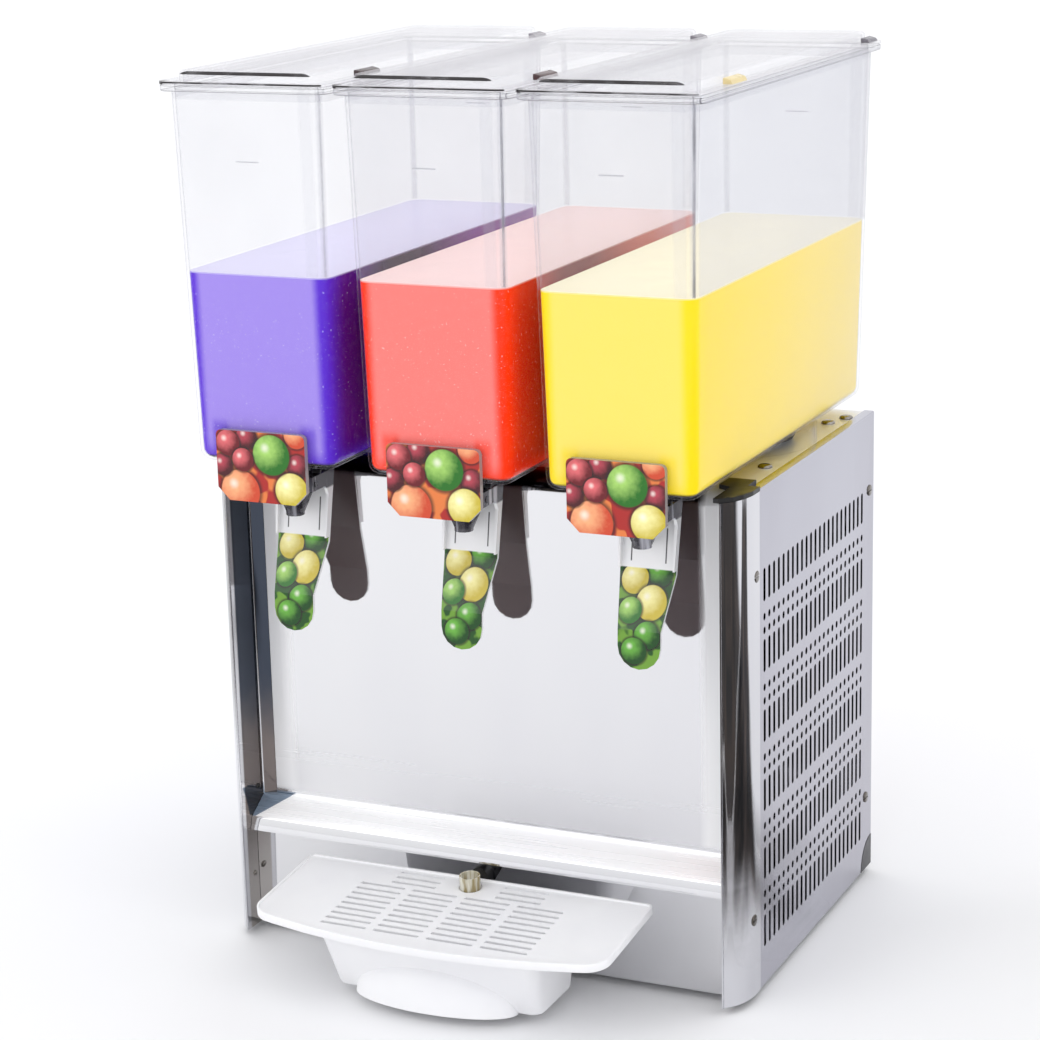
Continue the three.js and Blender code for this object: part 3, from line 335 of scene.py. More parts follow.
def block(name, low, high):
    middle = [(first + last) / 2 for first, last in zip(low, high)]
    piece = fresh(name, bpy.ops.mesh.primitive_cube_add, size=1, location=middle)
    piece.scale = [last - first for first, last in zip(low, high)]
    return settle(piece)


def rod(name, radius, low, high, corners=rod_corners, axis=2):
    middle = [(first + last) / 2 for first, last in zip(low, high)]
    turn = ((0, quarter_turn, 0), (quarter_turn, 0, 0), (0, 0, 0))[axis]
    piece = fresh(
        name, bpy.ops.mesh.primitive_cylinder_add, vertices=corners, radius=radius,
        depth=high[axis] - low[axis], location=middle, rotation=turn
    )
    return settle(piece)


def round_edges(piece, wanted, radius, steps):
    choose(piece, "EDGE", wanted)
    bpy.ops.mesh.bevel(offset=radius, segments=steps, affect="EDGES", clamp_overlap=True)


def change(piece, kind, **settings):
    """Applies a modifier of a kind, with its settings, to the piece."""
    take(piece)
    modifier = piece.modifiers.new(kind, kind)
    for name, value in settings.items():
        setattr(modifier, name, value)
    bpy.ops.object.modifier_apply(modifier=modifier.name)


def finish_edges(piece, width, angle):
    change(
        piece, "BEVEL", width=width, segments=edge_steps, limit_method="ANGLE",
        angle_limit=math.radians(angle), harden_normals=False
    )


def combine(piece, other, operation="DIFFERENCE"):
    change(piece, "BOOLEAN", operation=operation, solver="MANIFOLD", object=other)
    bpy.data.objects.remove(other)


def face_out():
    bpy.ops.mesh.select_all(action="SELECT")
    bpy.ops.mesh.normals_make_consistent(inside=False)


def turn_outwards(piece):
    with shaping(piece):
        bpy.ops.mesh.select_all(action="SELECT")
        bpy.ops.mesh.remove_doubles(threshold=merge_reach)
        face_out()


def smooth(piece, angle=smooth_angle):
    take(piece)
    bpy.ops.object.shade_smooth_by_angle(angle=math.radians(angle))


def copy_of(piece, name, shift=(0, 0, 0), mirrored=False):
    twin = piece.copy()
    twin.data = piece.data.copy()
    twin.name = name
    scene.collection.objects.link(twin)
    twin.location = shift
    if mirrored:
        twin.scale = (-1, 1, 1)
    settle(twin)
    if mirrored:
        turn_outwards(twin)
    return twin


def repeat(piece, count, step):
    change(
        piece, "ARRAY", count=count, use_relative_offset=False, use_constant_offset=True,
        constant_offset_displace=step
    )
    return piece


def join(name, *pieces):
    bpy.ops.object.select_all(action="DESELECT")
    for piece in pieces:
        piece.select_set(True)
    bpy.context.view_layer.objects.active = pieces[0]
    bpy.ops.object.join()
    pieces[0].name = name
    return pieces[0]


def fit(piece, half, front, rear, height):
    """Brings the chosen ring to its size and place."""
    form = bmesh.from_edit_mesh(piece.data)
    places = [corner.co for corner in form.verts if corner.select]
    low = Vector([min(place[axis] for place in places) for axis in range(3)])
    high = Vector([max(place[axis] for place in places) for axis in range(3)])
    middle = (low + high) / 2
    share = (2 * half / (high.x - low.x), (rear - front) / (high.y - low.y), 1)
    bpy.ops.transform.resize(value=share, center_override=middle)
    shift = (-middle.x, (front + rear) / 2 - middle.y, height - middle.z)
    bpy.ops.transform.translate(value=shift)


def ringed(name, rings, corner):
    """A closed form that grows from its first ring; a ring is half its width, its front, rear and height."""
    half, front, rear, height = rings[0]
    middle = (0, (front + rear) / 2, height)
    piece = fresh(name, bpy.ops.mesh.primitive_plane_add, size=1, location=middle)
    piece.scale = (2 * half, rear - front, 1)
    settle(piece)
    with shaping(piece):
        choose(piece, "VERT", lambda place: True)
        bpy.ops.mesh.bevel(offset=corner, segments=fillet_steps, affect="VERTICES")
        bpy.ops.mesh.select_mode(type="FACE")
        bpy.ops.mesh.select_all(action="SELECT")
        for ring in rings[1:]:
            bpy.ops.mesh.extrude_region_move(TRANSFORM_OT_translate={"value": (0, 0, 0)})
            fit(piece, *ring)
        face_out()
    return piece


def folded(name, path, span, low, high, bends, inward):
    """A sheet folded along a path of places, from low to high along the span's axis."""
    along = Vector([1 if axis == span else 0 for axis in range(3)])
    places = [Vector(place) for place in path]
    direction = (places[1] - places[0]).normalized()
    turn = Matrix((direction, along, direction.cross(along))).transposed().to_4x4()
    size = Matrix.Diagonal(((places[1] - places[0]).length, high - low, 1, 1))
    middle = (places[0] + places[1]) / 2 + along * (low + high) / 2
    piece = fresh(name, bpy.ops.mesh.primitive_plane_add, size=1)
    piece.matrix_world = Matrix.Translation(middle) @ turn @ size
    settle(piece)

    def at(place):
        def near(corner):
            return all(abs(corner[axis] - place[axis]) < tiny for axis in range(3) if axis != span)
        return lambda edge: whole(edge, near)

    with shaping(piece):
        for start, end in zip(places[1:], places[2:]):
            choose(piece, "EDGE", at(start))
            bpy.ops.mesh.extrude_region_move(TRANSFORM_OT_translate={"value": end - start})
        for number, (radius, steps) in bends.items():
            round_edges(piece, at(places[number]), radius, steps)
    change(piece, "SOLIDIFY", thickness=sheet, offset=inward, use_even_offset=True)
    return piece


def ready(piece, body, finish, slot, *replaced):
    """Gives a piece its finish, the body it rides on and the solids it stands for; its slot is not used."""
    piece.data.materials.clear()
    piece.data.materials.append(finish)
    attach(piece, body)
    if replaced:
        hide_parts(*replaced)
    return piece


# Finishes

# A turn is how far a face points along an axis, and a gloss is the roughness from low to high.
# A height, a half or a line is where something starts and ends, with its softness if it has one.

display_gamma = 2.2
even = (1, 1, 1)
noise_reach = (0.3, 0.7)
cloud_reach = (0.35, 0.65)
cloud_scale = 5
cloud_stretch = (1, 1, 0.4)
brush_scale = 260
brush_detail = 4
brush_strength = 0.25
clear_index = 1.5
mix_first, mix_second, mix_result = 6, 7, 2


def tone(red, green, blue):
    """A colour as a screen shows it, turned into light."""
    return tuple(share ** display_gamma for share in (red, green, blue)) + (1,)


class Finish:
    """A material being mixed: its nodes, its shader and the place on the piece."""

    def __init__(self, name):
        self.material = bpy.data.materials.new(name)
        self.material.use_nodes = True
        self.tree = self.material.node_tree
        self.shader = self.tree.nodes["Principled BSDF"]
        coordinate = self.node("TexCoord")
        self.place = coordinate.outputs["Object"]
        self.facing = coordinate.outputs["Normal"]

    def node(self, kind):
        return self.tree.nodes.new(f"ShaderNode{kind}")

    def wire(self, socket, value):
        if isinstance(value, bpy.types.NodeSocket):
            self.tree.links.new(value, socket)
        else:
            socket.default_value = value

    def set(self, **values):
        for name, value in values.items():
            self.wire(self.shader.inputs[name.replace("_", " ")], value)

    def parts(self, vector=None):
        node = self.node("SeparateXYZ")
        self.wire(node.inputs["Vector"], vector or self.place)
        return node.outputs["X"], node.outputs["Y"], node.outputs["Z"]

    def noise(self, scale, stretch=even, detail=3):
        mapping = self.node("Mapping")
        self.wire(mapping.inputs["Vector"], self.place)
        mapping.inputs["Scale"].default_value = stretch
        texture = self.node("TexNoise")
        texture.inputs["Scale"].default_value = scale
        texture.inputs["Detail"].default_value = detail
        self.wire(texture.inputs["Vector"], mapping.outputs["Vector"])
        return texture.outputs["Fac"]

    def maths(self, operation, *values):
        node = self.node("Math")
        node.operation = operation
        for socket, value in zip(node.inputs, values):
            self.wire(socket, value)
        return node.outputs["Value"]

    def product(self, first, *others):
        for other in others:
            first = self.maths("MULTIPLY", first, other)
        return first

    def stack(self, base, *layers):
        """The base with each layer's share added at its weight."""
        for share, weight in layers:
            base = self.maths("MULTIPLY_ADD", share, weight, base)
        return base

    def span(self, value):
        return self.maths("ABSOLUTE", value)

    def less(self, value, other):
        return self.maths("SUBTRACT", value, other)

    def range(self, value, start, end, low=0, high=1, kind="LINEAR"):
        node = self.node("MapRange")
        node.interpolation_type = kind
        given = {"Value": value, "From Min": start, "From Max": end, "To Min": low, "To Max": high}
        for name, amount in given.items():
            self.wire(node.inputs[name], amount)
        return node.outputs["Result"]

    def step(self, value, start, end):
        """Rises from 0 to 1, smoothly."""
        return self.range(value, start, end, kind="SMOOTHSTEP")

    def fade(self, value, start, end, most=1):
        """Falls from most to 0, smoothly."""
        return self.range(value, start, end, most, 0, "SMOOTHSTEP")

    def fall(self, value, start, end):
        """Falls from 1 to 0 in a straight line."""
        return self.range(value, start, end, 1, 0)

    def band(self, value, low, high, soft):
        rise = self.step(value, low - soft, low + soft)
        return self.less(rise, self.step(value, high - soft, high + soft))

    def drift(self, scale, ends, stretch=even, detail=3):
        """A value that wanders between two ends over the piece."""
        return self.range(self.noise(scale, stretch, detail), *noise_reach, *ends)

    def edge(self, power):
        return self.maths("POWER", self.node("LayerWeight").outputs["Facing"], power)

    def mix(self, share, first, second):
        node = self.node("Mix")
        node.data_type = "RGBA"
        self.wire(node.inputs["Factor"], share)
        self.wire(node.inputs[mix_first], first)
        self.wire(node.inputs[mix_second], second)
        return node.outputs[mix_result]

    def cloudy(self, first, second, scale=cloud_scale, stretch=cloud_stretch):
        return self.mix(self.range(self.noise(scale, stretch), *cloud_reach), first, second)

    def brush(self, stretch, relief):
        """Brush marks with their relief; a small number stretches them along its axis."""
        marks = self.noise(brush_scale, stretch, brush_detail)
        self.bump(marks, brush_strength, relief)
        return marks

    def bump(self, height, strength, distance):
        node = self.node("Bump")
        self.wire(node.inputs["Height"], height)
        node.inputs["Strength"].default_value = strength
        node.inputs["Distance"].default_value = distance
        self.wire(self.shader.inputs["Normal"], node.outputs["Normal"])


mould_cloud = 14
mould_gloss = 60
mould_grain = 900
mould_relief = 0.00004
mould_strength = 0.35


def moulded(name, colour, deeper, gloss, grain=mould_grain, relief=mould_relief):
    finish = Finish(name)
    finish.set(Base_Color=finish.cloudy(colour, deeper, mould_cloud, even))
    finish.set(Roughness=finish.drift(mould_gloss, gloss))
    finish.bump(finish.noise(grain, detail=2), mould_strength, relief)
    return finish.material


def steel(name, colour, deeper, gloss, stretch, relief, metal=1.0):
    finish = Finish(name)
    finish.set(Base_Color=finish.cloudy(colour, deeper), Metallic=metal)
    finish.set(Roughness=finish.range(finish.brush(stretch, relief), *noise_reach, *gloss))
    return finish.material


def bowl_places(finish):
    """The place across the whole machine, across the bowl it belongs to, along and up."""
    across, y, z = finish.parts()
    turned = finish.maths("MODULO", finish.maths("ADD", across, bowls_half), bowl_pitch)
    return across, finish.less(turned, bowl_pitch / 2), y, z


# Clear plastic: where its darker lines lie (start, end and softness), and how strong they are; the dark
# corner and rim lines and the darker grazing edges are painted refraction

clear_gloss_scale = 25
wall_edge = 7
wall_haze = (0.035, 0.06)
wall_haze_scale = 9
wall_gloss = (0.03, 0.08)
wall_wave = (18, 0.2, 0.0002)
wet_share = 0.12
wet_line = 0.0012
outer_flank_turn = (0.90, 0.97)
outer_flank = (0.192, 0.194)
outer_flank_shade = 0.20
near_end = (-0.15, -0.14)
front_turn = (-0.3, -0.1)
flat_turn = (-0.97, -0.90)
corner_turn = (0.70, 0.77, 0.03)
round_turn = (0.55, 0.85, 0.08)
corner_left_share = 0.3
corner_wander = (30, (0.55, 1))
strip_across = (0.044, 0.0535, 0.0008)
rib_height = (0.6655, 0.6712, 0.0003)
rim_line_low = (0.6715, 0.6721, 0.0001)
rim_line_high = (0.6750, 0.6756, 0.0001)
mark_height = (0.6214, 0.6223, 0.0001)
mark_half = (0.009, 0.0092)
wall_weights = {
    "edge": 0.75, "round": 0.16, "corner": 0.70, "strip": 0.07, "rib": 0.10, "rim": 0.3, "mark": 0.25,
}


def clear_walls():
    finish = Finish("clear bowl wall")
    across, x, y, z = bowl_places(finish)
    normal_x, normal_y, _ = finish.parts(finish.facing)
    dry = finish.step(z, juice_level, juice_level + wet_line)
    flat = finish.fall(normal_y, *flat_turn)
    edge = finish.edge(wall_edge)
    # The outer side walls of the end bowls are made greyer: painted shade
    flank = finish.product(finish.range(normal_x, *outer_flank_turn), finish.step(across, *outer_flank))
    haze = finish.stack(finish.drift(wall_haze_scale, wall_haze, detail=2), (flank, outer_flank_shade))
    haze = finish.product(haze, finish.range(dry, 0, 1, wet_share, 1))
    shown = finish.range(across, -bowl_pitch, bowl_pitch, corner_left_share, 1)
    # A painted dark refraction line down each vertical corner, above the drink
    corner = finish.product(
        finish.band(normal_x, *corner_turn), finish.fall(normal_y, *front_turn), dry,
        finish.fall(y, *near_end), shown, finish.drift(*corner_wander)
    )
    rim = finish.maths("ADD", finish.band(z, *rim_line_low), finish.band(z, *rim_line_high))
    mark = finish.product(finish.band(z, *mark_height), finish.fall(finish.span(x), *mark_half), flat)
    shares = {
        "edge": edge,
        "round": finish.product(finish.band(finish.span(normal_x), *round_turn), dry),
        "corner": corner,
        "strip": finish.product(finish.band(x, *strip_across), flat, dry),
        "rib": finish.product(finish.band(z, *rib_height), finish.less(1, edge)),
        "rim": rim,
        "mark": mark,
    }
    alpha = finish.stack(haze, *((share, wall_weights[name]) for name, share in shares.items()))
    # Grazing edges, corner lines and rim lines are painted darker: painted refraction
    colour = finish.mix(edge, tone(0.74, 0.745, 0.79), tone(0.48, 0.47, 0.52))
    colour = finish.mix(finish.maths("MAXIMUM", corner, rim), colour, tone(0.14, 0.13, 0.17))
    colour = finish.mix(mark, colour, tone(0.55, 0.55, 0.6))
    finish.set(Base_Color=colour, Alpha=finish.maths("MINIMUM", alpha, 1))
    finish.set(Roughness=finish.drift(clear_gloss_scale, wall_gloss), IOR=clear_index)
    scale, strength, relief = wall_wave
    finish.bump(finish.noise(scale, detail=1), strength, relief)
    return finish.material


lid_edge = 5
lid_edge_weight = 0.5
lid_line_weight = 0.85
lid_gloss = (0.04, 0.10)
lid_wave = (22, 0.25, 0.0003)
crown_line_depth = (0.0014, 0.0018)
crown_line_height = (0.6827, 0.6831)
crown_line_wander = (60, (0.92, 1.1))
flange_line_depth = (0.0026, 0.0032)
flange_line_height = (0.6770, 0.6774)
flange_line_wander = (45, (0.8, 1.1))
line_reach = (0.3, 0.55)
flange_end = (-0.0692, -0.062, 0.0006)
flange_end_height = (0.676, 0.6786, 0.0002)
flange_end_depth = (0.010, 0.014)
lid_streaks = (26, (1, 0.15, 1))
lid_streak_reach = (0.35, 0.7)
lid_haze = (0.03, 0.13)


def clear_lids():
    finish = Finish("clear lid")
    _, x, y, z = bowl_places(finish)

    def behind(front, depths):
        return finish.fall(y, *(front + depth for depth in depths))

    def wander(scale, ends):
        return finish.range(finish.noise(scale), *line_reach, *ends)

    # crown, flange and end are painted dark refraction lines on the lid's front bevel and flange
    crown = finish.product(
        behind(crown_front, crown_line_depth), finish.step(z, *crown_line_height),
        wander(*crown_line_wander)
    )
    flange = finish.product(
        behind(rim_front, flange_line_depth), finish.step(z, *flange_line_height),
        wander(*flange_line_wander)
    )
    end = finish.product(
        finish.band(x, *flange_end), finish.band(z, *flange_end_height), behind(rim_front, flange_end_depth)
    )
    dark = finish.maths("MAXIMUM", crown, finish.maths("MAXIMUM", flange, end))
    edge = finish.edge(lid_edge)
    streak = finish.range(finish.noise(*lid_streaks), *lid_streak_reach, *lid_haze)
    alpha = finish.stack(streak, (edge, lid_edge_weight), (dark, lid_line_weight))
    # Grazing edges and the lines are painted darker: painted refraction
    colour = finish.mix(edge, tone(0.90, 0.90, 0.92), tone(0.52, 0.50, 0.55))
    colour = finish.mix(dark, colour, tone(0.10, 0.07, 0.08))
    finish.set(Base_Color=colour, Alpha=finish.maths("MINIMUM", alpha, 1))
    finish.set(Roughness=finish.drift(clear_gloss_scale, lid_gloss), IOR=clear_index)
    scale, strength, relief = lid_wave
    finish.bump(finish.noise(scale, detail=1), strength, relief)
    return finish.material


tap_edge = 3
reflection_streaks = (120, (1, 1, 0.12))
tap_reflection_reach = (0.52, 0.66)
tap_alpha = (0.72, 0.95)
tap_gloss = (0.05, 0.12)
streak_strength = 0.3
tap_relief = 0.0003
float_streaks = (300, (1, 1, 0.08))
float_streak_reach = (0.45, 0.6)
float_alpha = (0.8, 0.6)
float_gloss = (0.06, 0.14)
float_relief = 0.0002


def clear_taps():
    finish = Finish("clear tap plastic")
    edge = finish.edge(tap_edge)
    # The dark and light streaks are painted reflections and glints in the clear housing, and also its
    # relief; the darker edges are painted refraction
    streak = finish.range(finish.noise(*reflection_streaks), *tap_reflection_reach)
    colour = finish.mix(streak, tone(0.22, 0.21, 0.25), tone(0.80, 0.80, 0.84))
    finish.set(Base_Color=finish.mix(edge, colour, tone(0.12, 0.11, 0.13)))
    finish.set(Alpha=finish.range(edge, 0, 1, *tap_alpha), IOR=clear_index)
    finish.set(Roughness=finish.drift(clear_gloss_scale, tap_gloss))
    finish.bump(streak, streak_strength, tap_relief)
    return finish.material


def float_plastic():
    finish = Finish("amber float plastic")
    streak = finish.range(finish.noise(*float_streaks), *float_streak_reach)
    finish.set(Base_Color=finish.mix(streak, tone(0.62, 0.56, 0.40), tone(0.97, 0.96, 0.90)))
    finish.set(Alpha=finish.range(streak, 0, 1, *float_alpha), IOR=clear_index)
    finish.set(Roughness=finish.drift(mould_gloss, float_gloss))
    finish.bump(streak, streak_strength, float_relief)
    return finish.material


# Steel: the parts of a sheet that are dulled, and the painted dark reflections, painted shade and painted
# glow on them

ledge_height = (0.0974, 0.1106, 0.0003)
ledge_rough = 0.22
ledge_metal = 0.35
ledge_glow = 0.22
reflection_slant = -1.74
reflection_end = (-0.3666, -0.3656)
bend_turn = (0.04, 0.30)
bend_height = (0.36, 0.374)
bend_splash = (60, (0.62, 0.68), 0.8)
border_half = (0.168, 0.175)
border_height = (0.112, 0.116)
border_metal = 0.1
dull_height = (0.13, 0.20)
dull_foot = (0.112, 0.114)
dull_most = 0.25
sheet_brush = ((0.02, 1, 1), 0.000003)
sheet_gloss = (0.03, 0.07)


def mirror_sheet():
    finish = Finish("polished steel sheet")
    x, _, z = finish.parts()
    _, _, normal_z = finish.parts(finish.facing)
    # The ledge is painted near white and glows: painted light
    ledge = finish.band(z, *ledge_height)
    # A painted reflection of the dark column return, a blue-grey triangle at the ledge's left end
    return_reflection = finish.product(finish.fall(finish.stack(x, (z, reflection_slant)), *reflection_end), ledge)
    scale, reach, least = bend_splash
    # A painted dark reflection of the bowls' undersides on the front panel's top bend, a little lighter in
    # specks
    bend_reflection = finish.product(
        finish.step(normal_z, *bend_turn), finish.step(z, *bend_height),
        finish.range(finish.noise(scale, detail=2), *reach, 1, least)
    )
    border = finish.product(finish.range(finish.span(x), *border_half), finish.step(z, *border_height))
    colour = finish.cloudy(tone(0.885, 0.885, 0.89), tone(0.86, 0.86, 0.872))
    for share, tint in (
        (ledge, tone(0.985, 0.985, 0.99)),
        (return_reflection, tone(0.56, 0.63, 0.71)),
        (bend_reflection, tone(0.16, 0.13, 0.14)),
        (border, tone(0.95, 0.95, 0.955)),
    ):
        colour = finish.mix(share, colour, tint)
    dull = finish.product(finish.fade(z, *dull_height, dull_most), finish.step(z, *dull_foot))
    gloss = finish.range(finish.brush(*sheet_brush), *noise_reach, *sheet_gloss)
    gloss = finish.maths("ADD", gloss, finish.stack(dull, (ledge, ledge_rough)))
    metal = finish.product(
        finish.range(border, 0, 1, 1, border_metal), finish.range(ledge, 0, 1, 1, ledge_metal)
    )
    finish.set(Base_Color=colour, Roughness=gloss, Metallic=metal, Emission_Color=tone(1, 1, 1))
    # The ledge's painted glow stops where the painted reflection lies
    finish.set(Emission_Strength=finish.product(finish.less(ledge, return_reflection), ledge_glow))
    return finish.material


shade_face = (0.0003, 0.0006)
shade_front = (-0.1145, -0.1125)
fold_line = (-0.0853, -0.0842, 0.0002)
shade_wander = (14, (-0.02, 0.02))
shade_height = (0.13, 0.20)
shade_foot = (0.03, 0.11)
curve_turn = (0.20, 0.86, 0.06)
column_brush = ((1, 1, 0.02), 0.000004)
column_gloss = (0.03, 0.08)


def column_finish():
    finish = Finish("polished steel column")
    x, y, z = finish.parts()
    normal_x, _, _ = finish.parts(finish.facing)
    # The return face is painted dark grey, lighter towards its foot: painted shade
    inner = finish.product(
        finish.fall(finish.span(x), *(return_face + depth for depth in shade_face)),
        finish.less(1, finish.band(y, *fold_line)), finish.range(y, *shade_front)
    )
    height = finish.step(finish.maths("ADD", z, finish.drift(*shade_wander)), *shade_height)
    low = finish.mix(finish.step(z, *shade_foot), tone(0.72, 0.70, 0.68), tone(0.46, 0.43, 0.42))
    return_shade = finish.mix(height, low, tone(0.27, 0.29, 0.33))
    # A painted dark reflection on the curve of the column's front, above the foot
    curve_reflection = finish.product(finish.band(finish.span(normal_x), *curve_turn), height)
    outer = finish.cloudy(tone(0.88, 0.88, 0.89), tone(0.80, 0.80, 0.82))
    outer = finish.mix(curve_reflection, outer, tone(0.70, 0.695, 0.70))
    finish.set(Base_Color=finish.mix(inner, outer, return_shade), Metallic=1.0)
    finish.set(Roughness=finish.range(finish.brush(*column_brush), *noise_reach, *column_gloss))
    return finish.material


side_outside = (0.0009, 0.0006)
side_top = (0.3866, 0.3872)
side_brush = ((1, 1, 0.03), 0.000008)
side_gloss = (0.12, 0.20)


def side_finish():
    finish = Finish("satin steel side")
    x, _, z = finish.parts()
    outer = finish.range(finish.span(x), *(panel_face - depth for depth in side_outside))
    outer = finish.maths("MAXIMUM", outer, finish.step(z, *side_top))
    outside = finish.cloudy(tone(0.725, 0.725, 0.763), tone(0.687, 0.682, 0.72))
    # The inner face is painted near black: painted shade inside the cabinet
    finish.set(Base_Color=finish.mix(outer, tone(0.06, 0.06, 0.07), outside), Metallic=1.0)
    finish.set(Roughness=finish.range(finish.brush(*side_brush), *noise_reach, *side_gloss))
    return finish.material


mirror_steel = mirror_sheet()
column_steel = column_finish()
side_steel = side_finish()
rear_steel = steel(
    "satin steel rear", tone(0.755, 0.755, 0.795), tone(0.715, 0.71, 0.75), (0.14, 0.22), (1, 1, 0.03),
    relief=0.000008
)
screw_steel = steel(
    "screw steel", tone(0.60, 0.58, 0.56), tone(0.34, 0.32, 0.30), (0.15, 0.25), even, relief=0.00001
)
deck_steel = steel(
    "satin steel deck", tone(0.93, 0.93, 0.93), tone(0.88, 0.88, 0.89), (0.32, 0.44), (0.03, 1, 1),
    relief=0.00001, metal=0.7
)
zinc_sheet = steel(
    "zinc plated sheet", tone(0.72, 0.74, 0.75), tone(0.60, 0.62, 0.64), (0.35, 0.5), even, relief=0.00002
)
rolled_aluminium = steel(
    "rolled aluminium", tone(0.83, 0.84, 0.85), tone(0.75, 0.76, 0.78), (0.3, 0.42), (1, 0.05, 1),
    relief=0.00002
)
black_enamel = moulded("black enamel", tone(0.10, 0.10, 0.11), tone(0.07, 0.07, 0.08), (0.22, 0.35))
black_moulding = moulded("black moulding", tone(0.13, 0.13, 0.13), tone(0.08, 0.08, 0.085), (0.3, 0.45))
dark_moulding = moulded("dark grey moulding", tone(0.27, 0.27, 0.28), tone(0.22, 0.22, 0.23), (0.35, 0.5))
soft_rubber = moulded(
    "soft rubber", tone(0.14, 0.14, 0.14), tone(0.10, 0.10, 0.10), (0.6, 0.75), grain=600, relief=0.00008
)
white_moulding = moulded(
    "white moulding", tone(0.955, 0.955, 0.96), tone(0.94, 0.94, 0.95), (0.34, 0.44),
    grain=700, relief=0.00003
)
dark_latch = moulded("dark latch plastic", tone(0.34, 0.22, 0.22), tone(0.22, 0.14, 0.15), (0.2, 0.3))
pale_latch = moulded("pale latch plastic", tone(0.90, 0.82, 0.58), tone(0.80, 0.72, 0.55), (0.2, 0.3))
grey_latch = moulded("grey latch plastic", tone(0.55, 0.53, 0.56), tone(0.40, 0.39, 0.42), (0.2, 0.3))
inner_white = moulded("white fan plastic", tone(0.90, 0.90, 0.90), tone(0.86, 0.86, 0.86), (0.3, 0.4))
clear_wall = clear_walls()
clear_lid = clear_lids()
clear_tap = clear_taps()
amber_float = float_plastic()


# Drinks: how the colour changes along, across and up; the paler front, the bright level line and the glow
# are painted light, and the darker flanks and underside are painted shade

flank_turn = (0.55, 0.85)
flank_start = (0.012, 0.11)
flank_rear = (-0.03, 0.10)
corner_half = (0.0445, 0.0525)
corner_depth = (0.006, 0.030)
foot_height = 0.016
foot_share = 0.9
plate_side = (0.030, 0.043, 0.003)
plate_side_height = (0.424, 0.434)
plate_side_share = 0.6
level_half = 0.001
level_soft = 0.0002
level_share = 0.5
surface_turn = (0.4, 0.8)
under_turn = (-0.8, -0.5)
under_front = (-0.10, -0.04)
pulp_scale = 180
pulp_detail = 5
pulp_reach = (0.5, 0.75)
pulp_strength = 0.1
pulp_relief = 0.00003
bubble_scale = 700
bubble_reach = (0.79, 0.81)
drink_glow = 0.12
drink_mirror = 0.2
drink_gloss = (0.12, 0.22)
drink_gloss_scale = 40


# front is painted paler as painted light; side, deep and rear are the flank colours from front to back, deep
# the darkest as painted shade
def drink(name, front, corner, side, deep, rear, surface, haze=0.03, specks=0.5):
    finish = Finish(name)
    _, x, y, z = bowl_places(finish)
    normal_x, _, normal_z = finish.parts(finish.facing)
    reach = finish.span(x)
    # The flanks darken back towards the bowls beside: painted shade
    from_front = finish.less(y, juice_top_front)
    flank = finish.mix(finish.step(from_front, *flank_start), side, deep)
    flank = finish.mix(finish.step(y, *flank_rear), flank, rear)
    at_corner = finish.product(finish.step(reach, *corner_half), finish.fade(from_front, *corner_depth))
    foot = finish.fade(z, juice_low, juice_low + foot_height, foot_share)
    beside_plate = finish.product(
        finish.band(reach, *plate_side), finish.fade(z, *plate_side_height), plate_side_share
    )
    # A bright line at the drink's level: painted highlight
    level_highlight = finish.product(
        finish.band(z, juice_level - level_half, juice_level + level_half, level_soft), level_share
    )
    pulp = finish.noise(pulp_scale, detail=pulp_detail)
    bubbles = finish.range(finish.noise(bubble_scale, detail=0), *bubble_reach)
    # Downward faces are painted dark towards the front: painted shade
    below = finish.mix(finish.step(y, *under_front), tone(0.10, 0.07, 0.08), corner)
    body = front
    for share, tint in (
        (finish.step(normal_x, *flank_turn), flank),
        (at_corner, corner),
        (foot, corner),
        (beside_plate, corner),
        (level_highlight, surface),
        (finish.step(normal_z, *surface_turn), surface),
        (finish.range(pulp, *pulp_reach, 0, haze), surface),
        (finish.product(bubbles, specks), surface),
        (finish.fall(normal_z, *under_turn), below),
    ):
        body = finish.mix(share, body, tint)
    # The body also glows a little: painted light
    finish.set(Base_Color=body, Emission_Color=body)
    finish.set(Emission_Strength=drink_glow, Specular_IOR_Level=drink_mirror)
    finish.set(Roughness=finish.drift(drink_gloss_scale, drink_gloss))
    finish.bump(pulp, pulp_strength, pulp_relief)
    return finish.material


drinks = {
    "left": drink(
        "violet drink", tone(0.60, 0.52, 0.86), tone(0.34, 0.17, 0.78), tone(0.34, 0.03, 0.58),
        tone(0.10, 0.00, 0.10), tone(0.50, 0.26, 0.62), tone(0.79, 0.77, 0.90)
    ),
    "middle": drink(
        "red drink", tone(0.96, 0.475, 0.45), tone(0.96, 0.21, 0.00), tone(0.84, 0.17, 0.00),
        tone(0.50, 0.05, 0.00), tone(0.80, 0.40, 0.34), tone(0.95, 0.79, 0.77)
    ),
    "right": drink(
        "yellow drink", tone(0.95, 0.855, 0.40), tone(0.95, 0.835, 0.10), tone(0.95, 0.83, 0.20),
        tone(0.945, 0.83, 0.24), tone(0.945, 0.83, 0.28), tone(0.96, 0.915, 0.75), haze=0.015, specks=0
    ),
}


# A made-up print of round fruit: place across, place up, radius and colours, the last ones in front

ripe_red = (tone(0.90, 0.42, 0.44), tone(0.40, 0.03, 0.10))
plum_red = (tone(0.72, 0.26, 0.32), tone(0.28, 0.02, 0.08))
leaf_green = (tone(0.66, 0.84, 0.42), tone(0.13, 0.42, 0.08))
deep_green = (tone(0.42, 0.70, 0.26), tone(0.04, 0.27, 0.04))
pale_yellow = (tone(0.98, 0.95, 0.66), tone(0.78, 0.70, 0.22))
soft_orange = (tone(0.98, 0.70, 0.50), tone(0.80, 0.28, 0.16))
rim_shade = tone(0.10, 0.04, 0.03)
glint_tint = tone(1, 0.98, 0.94)

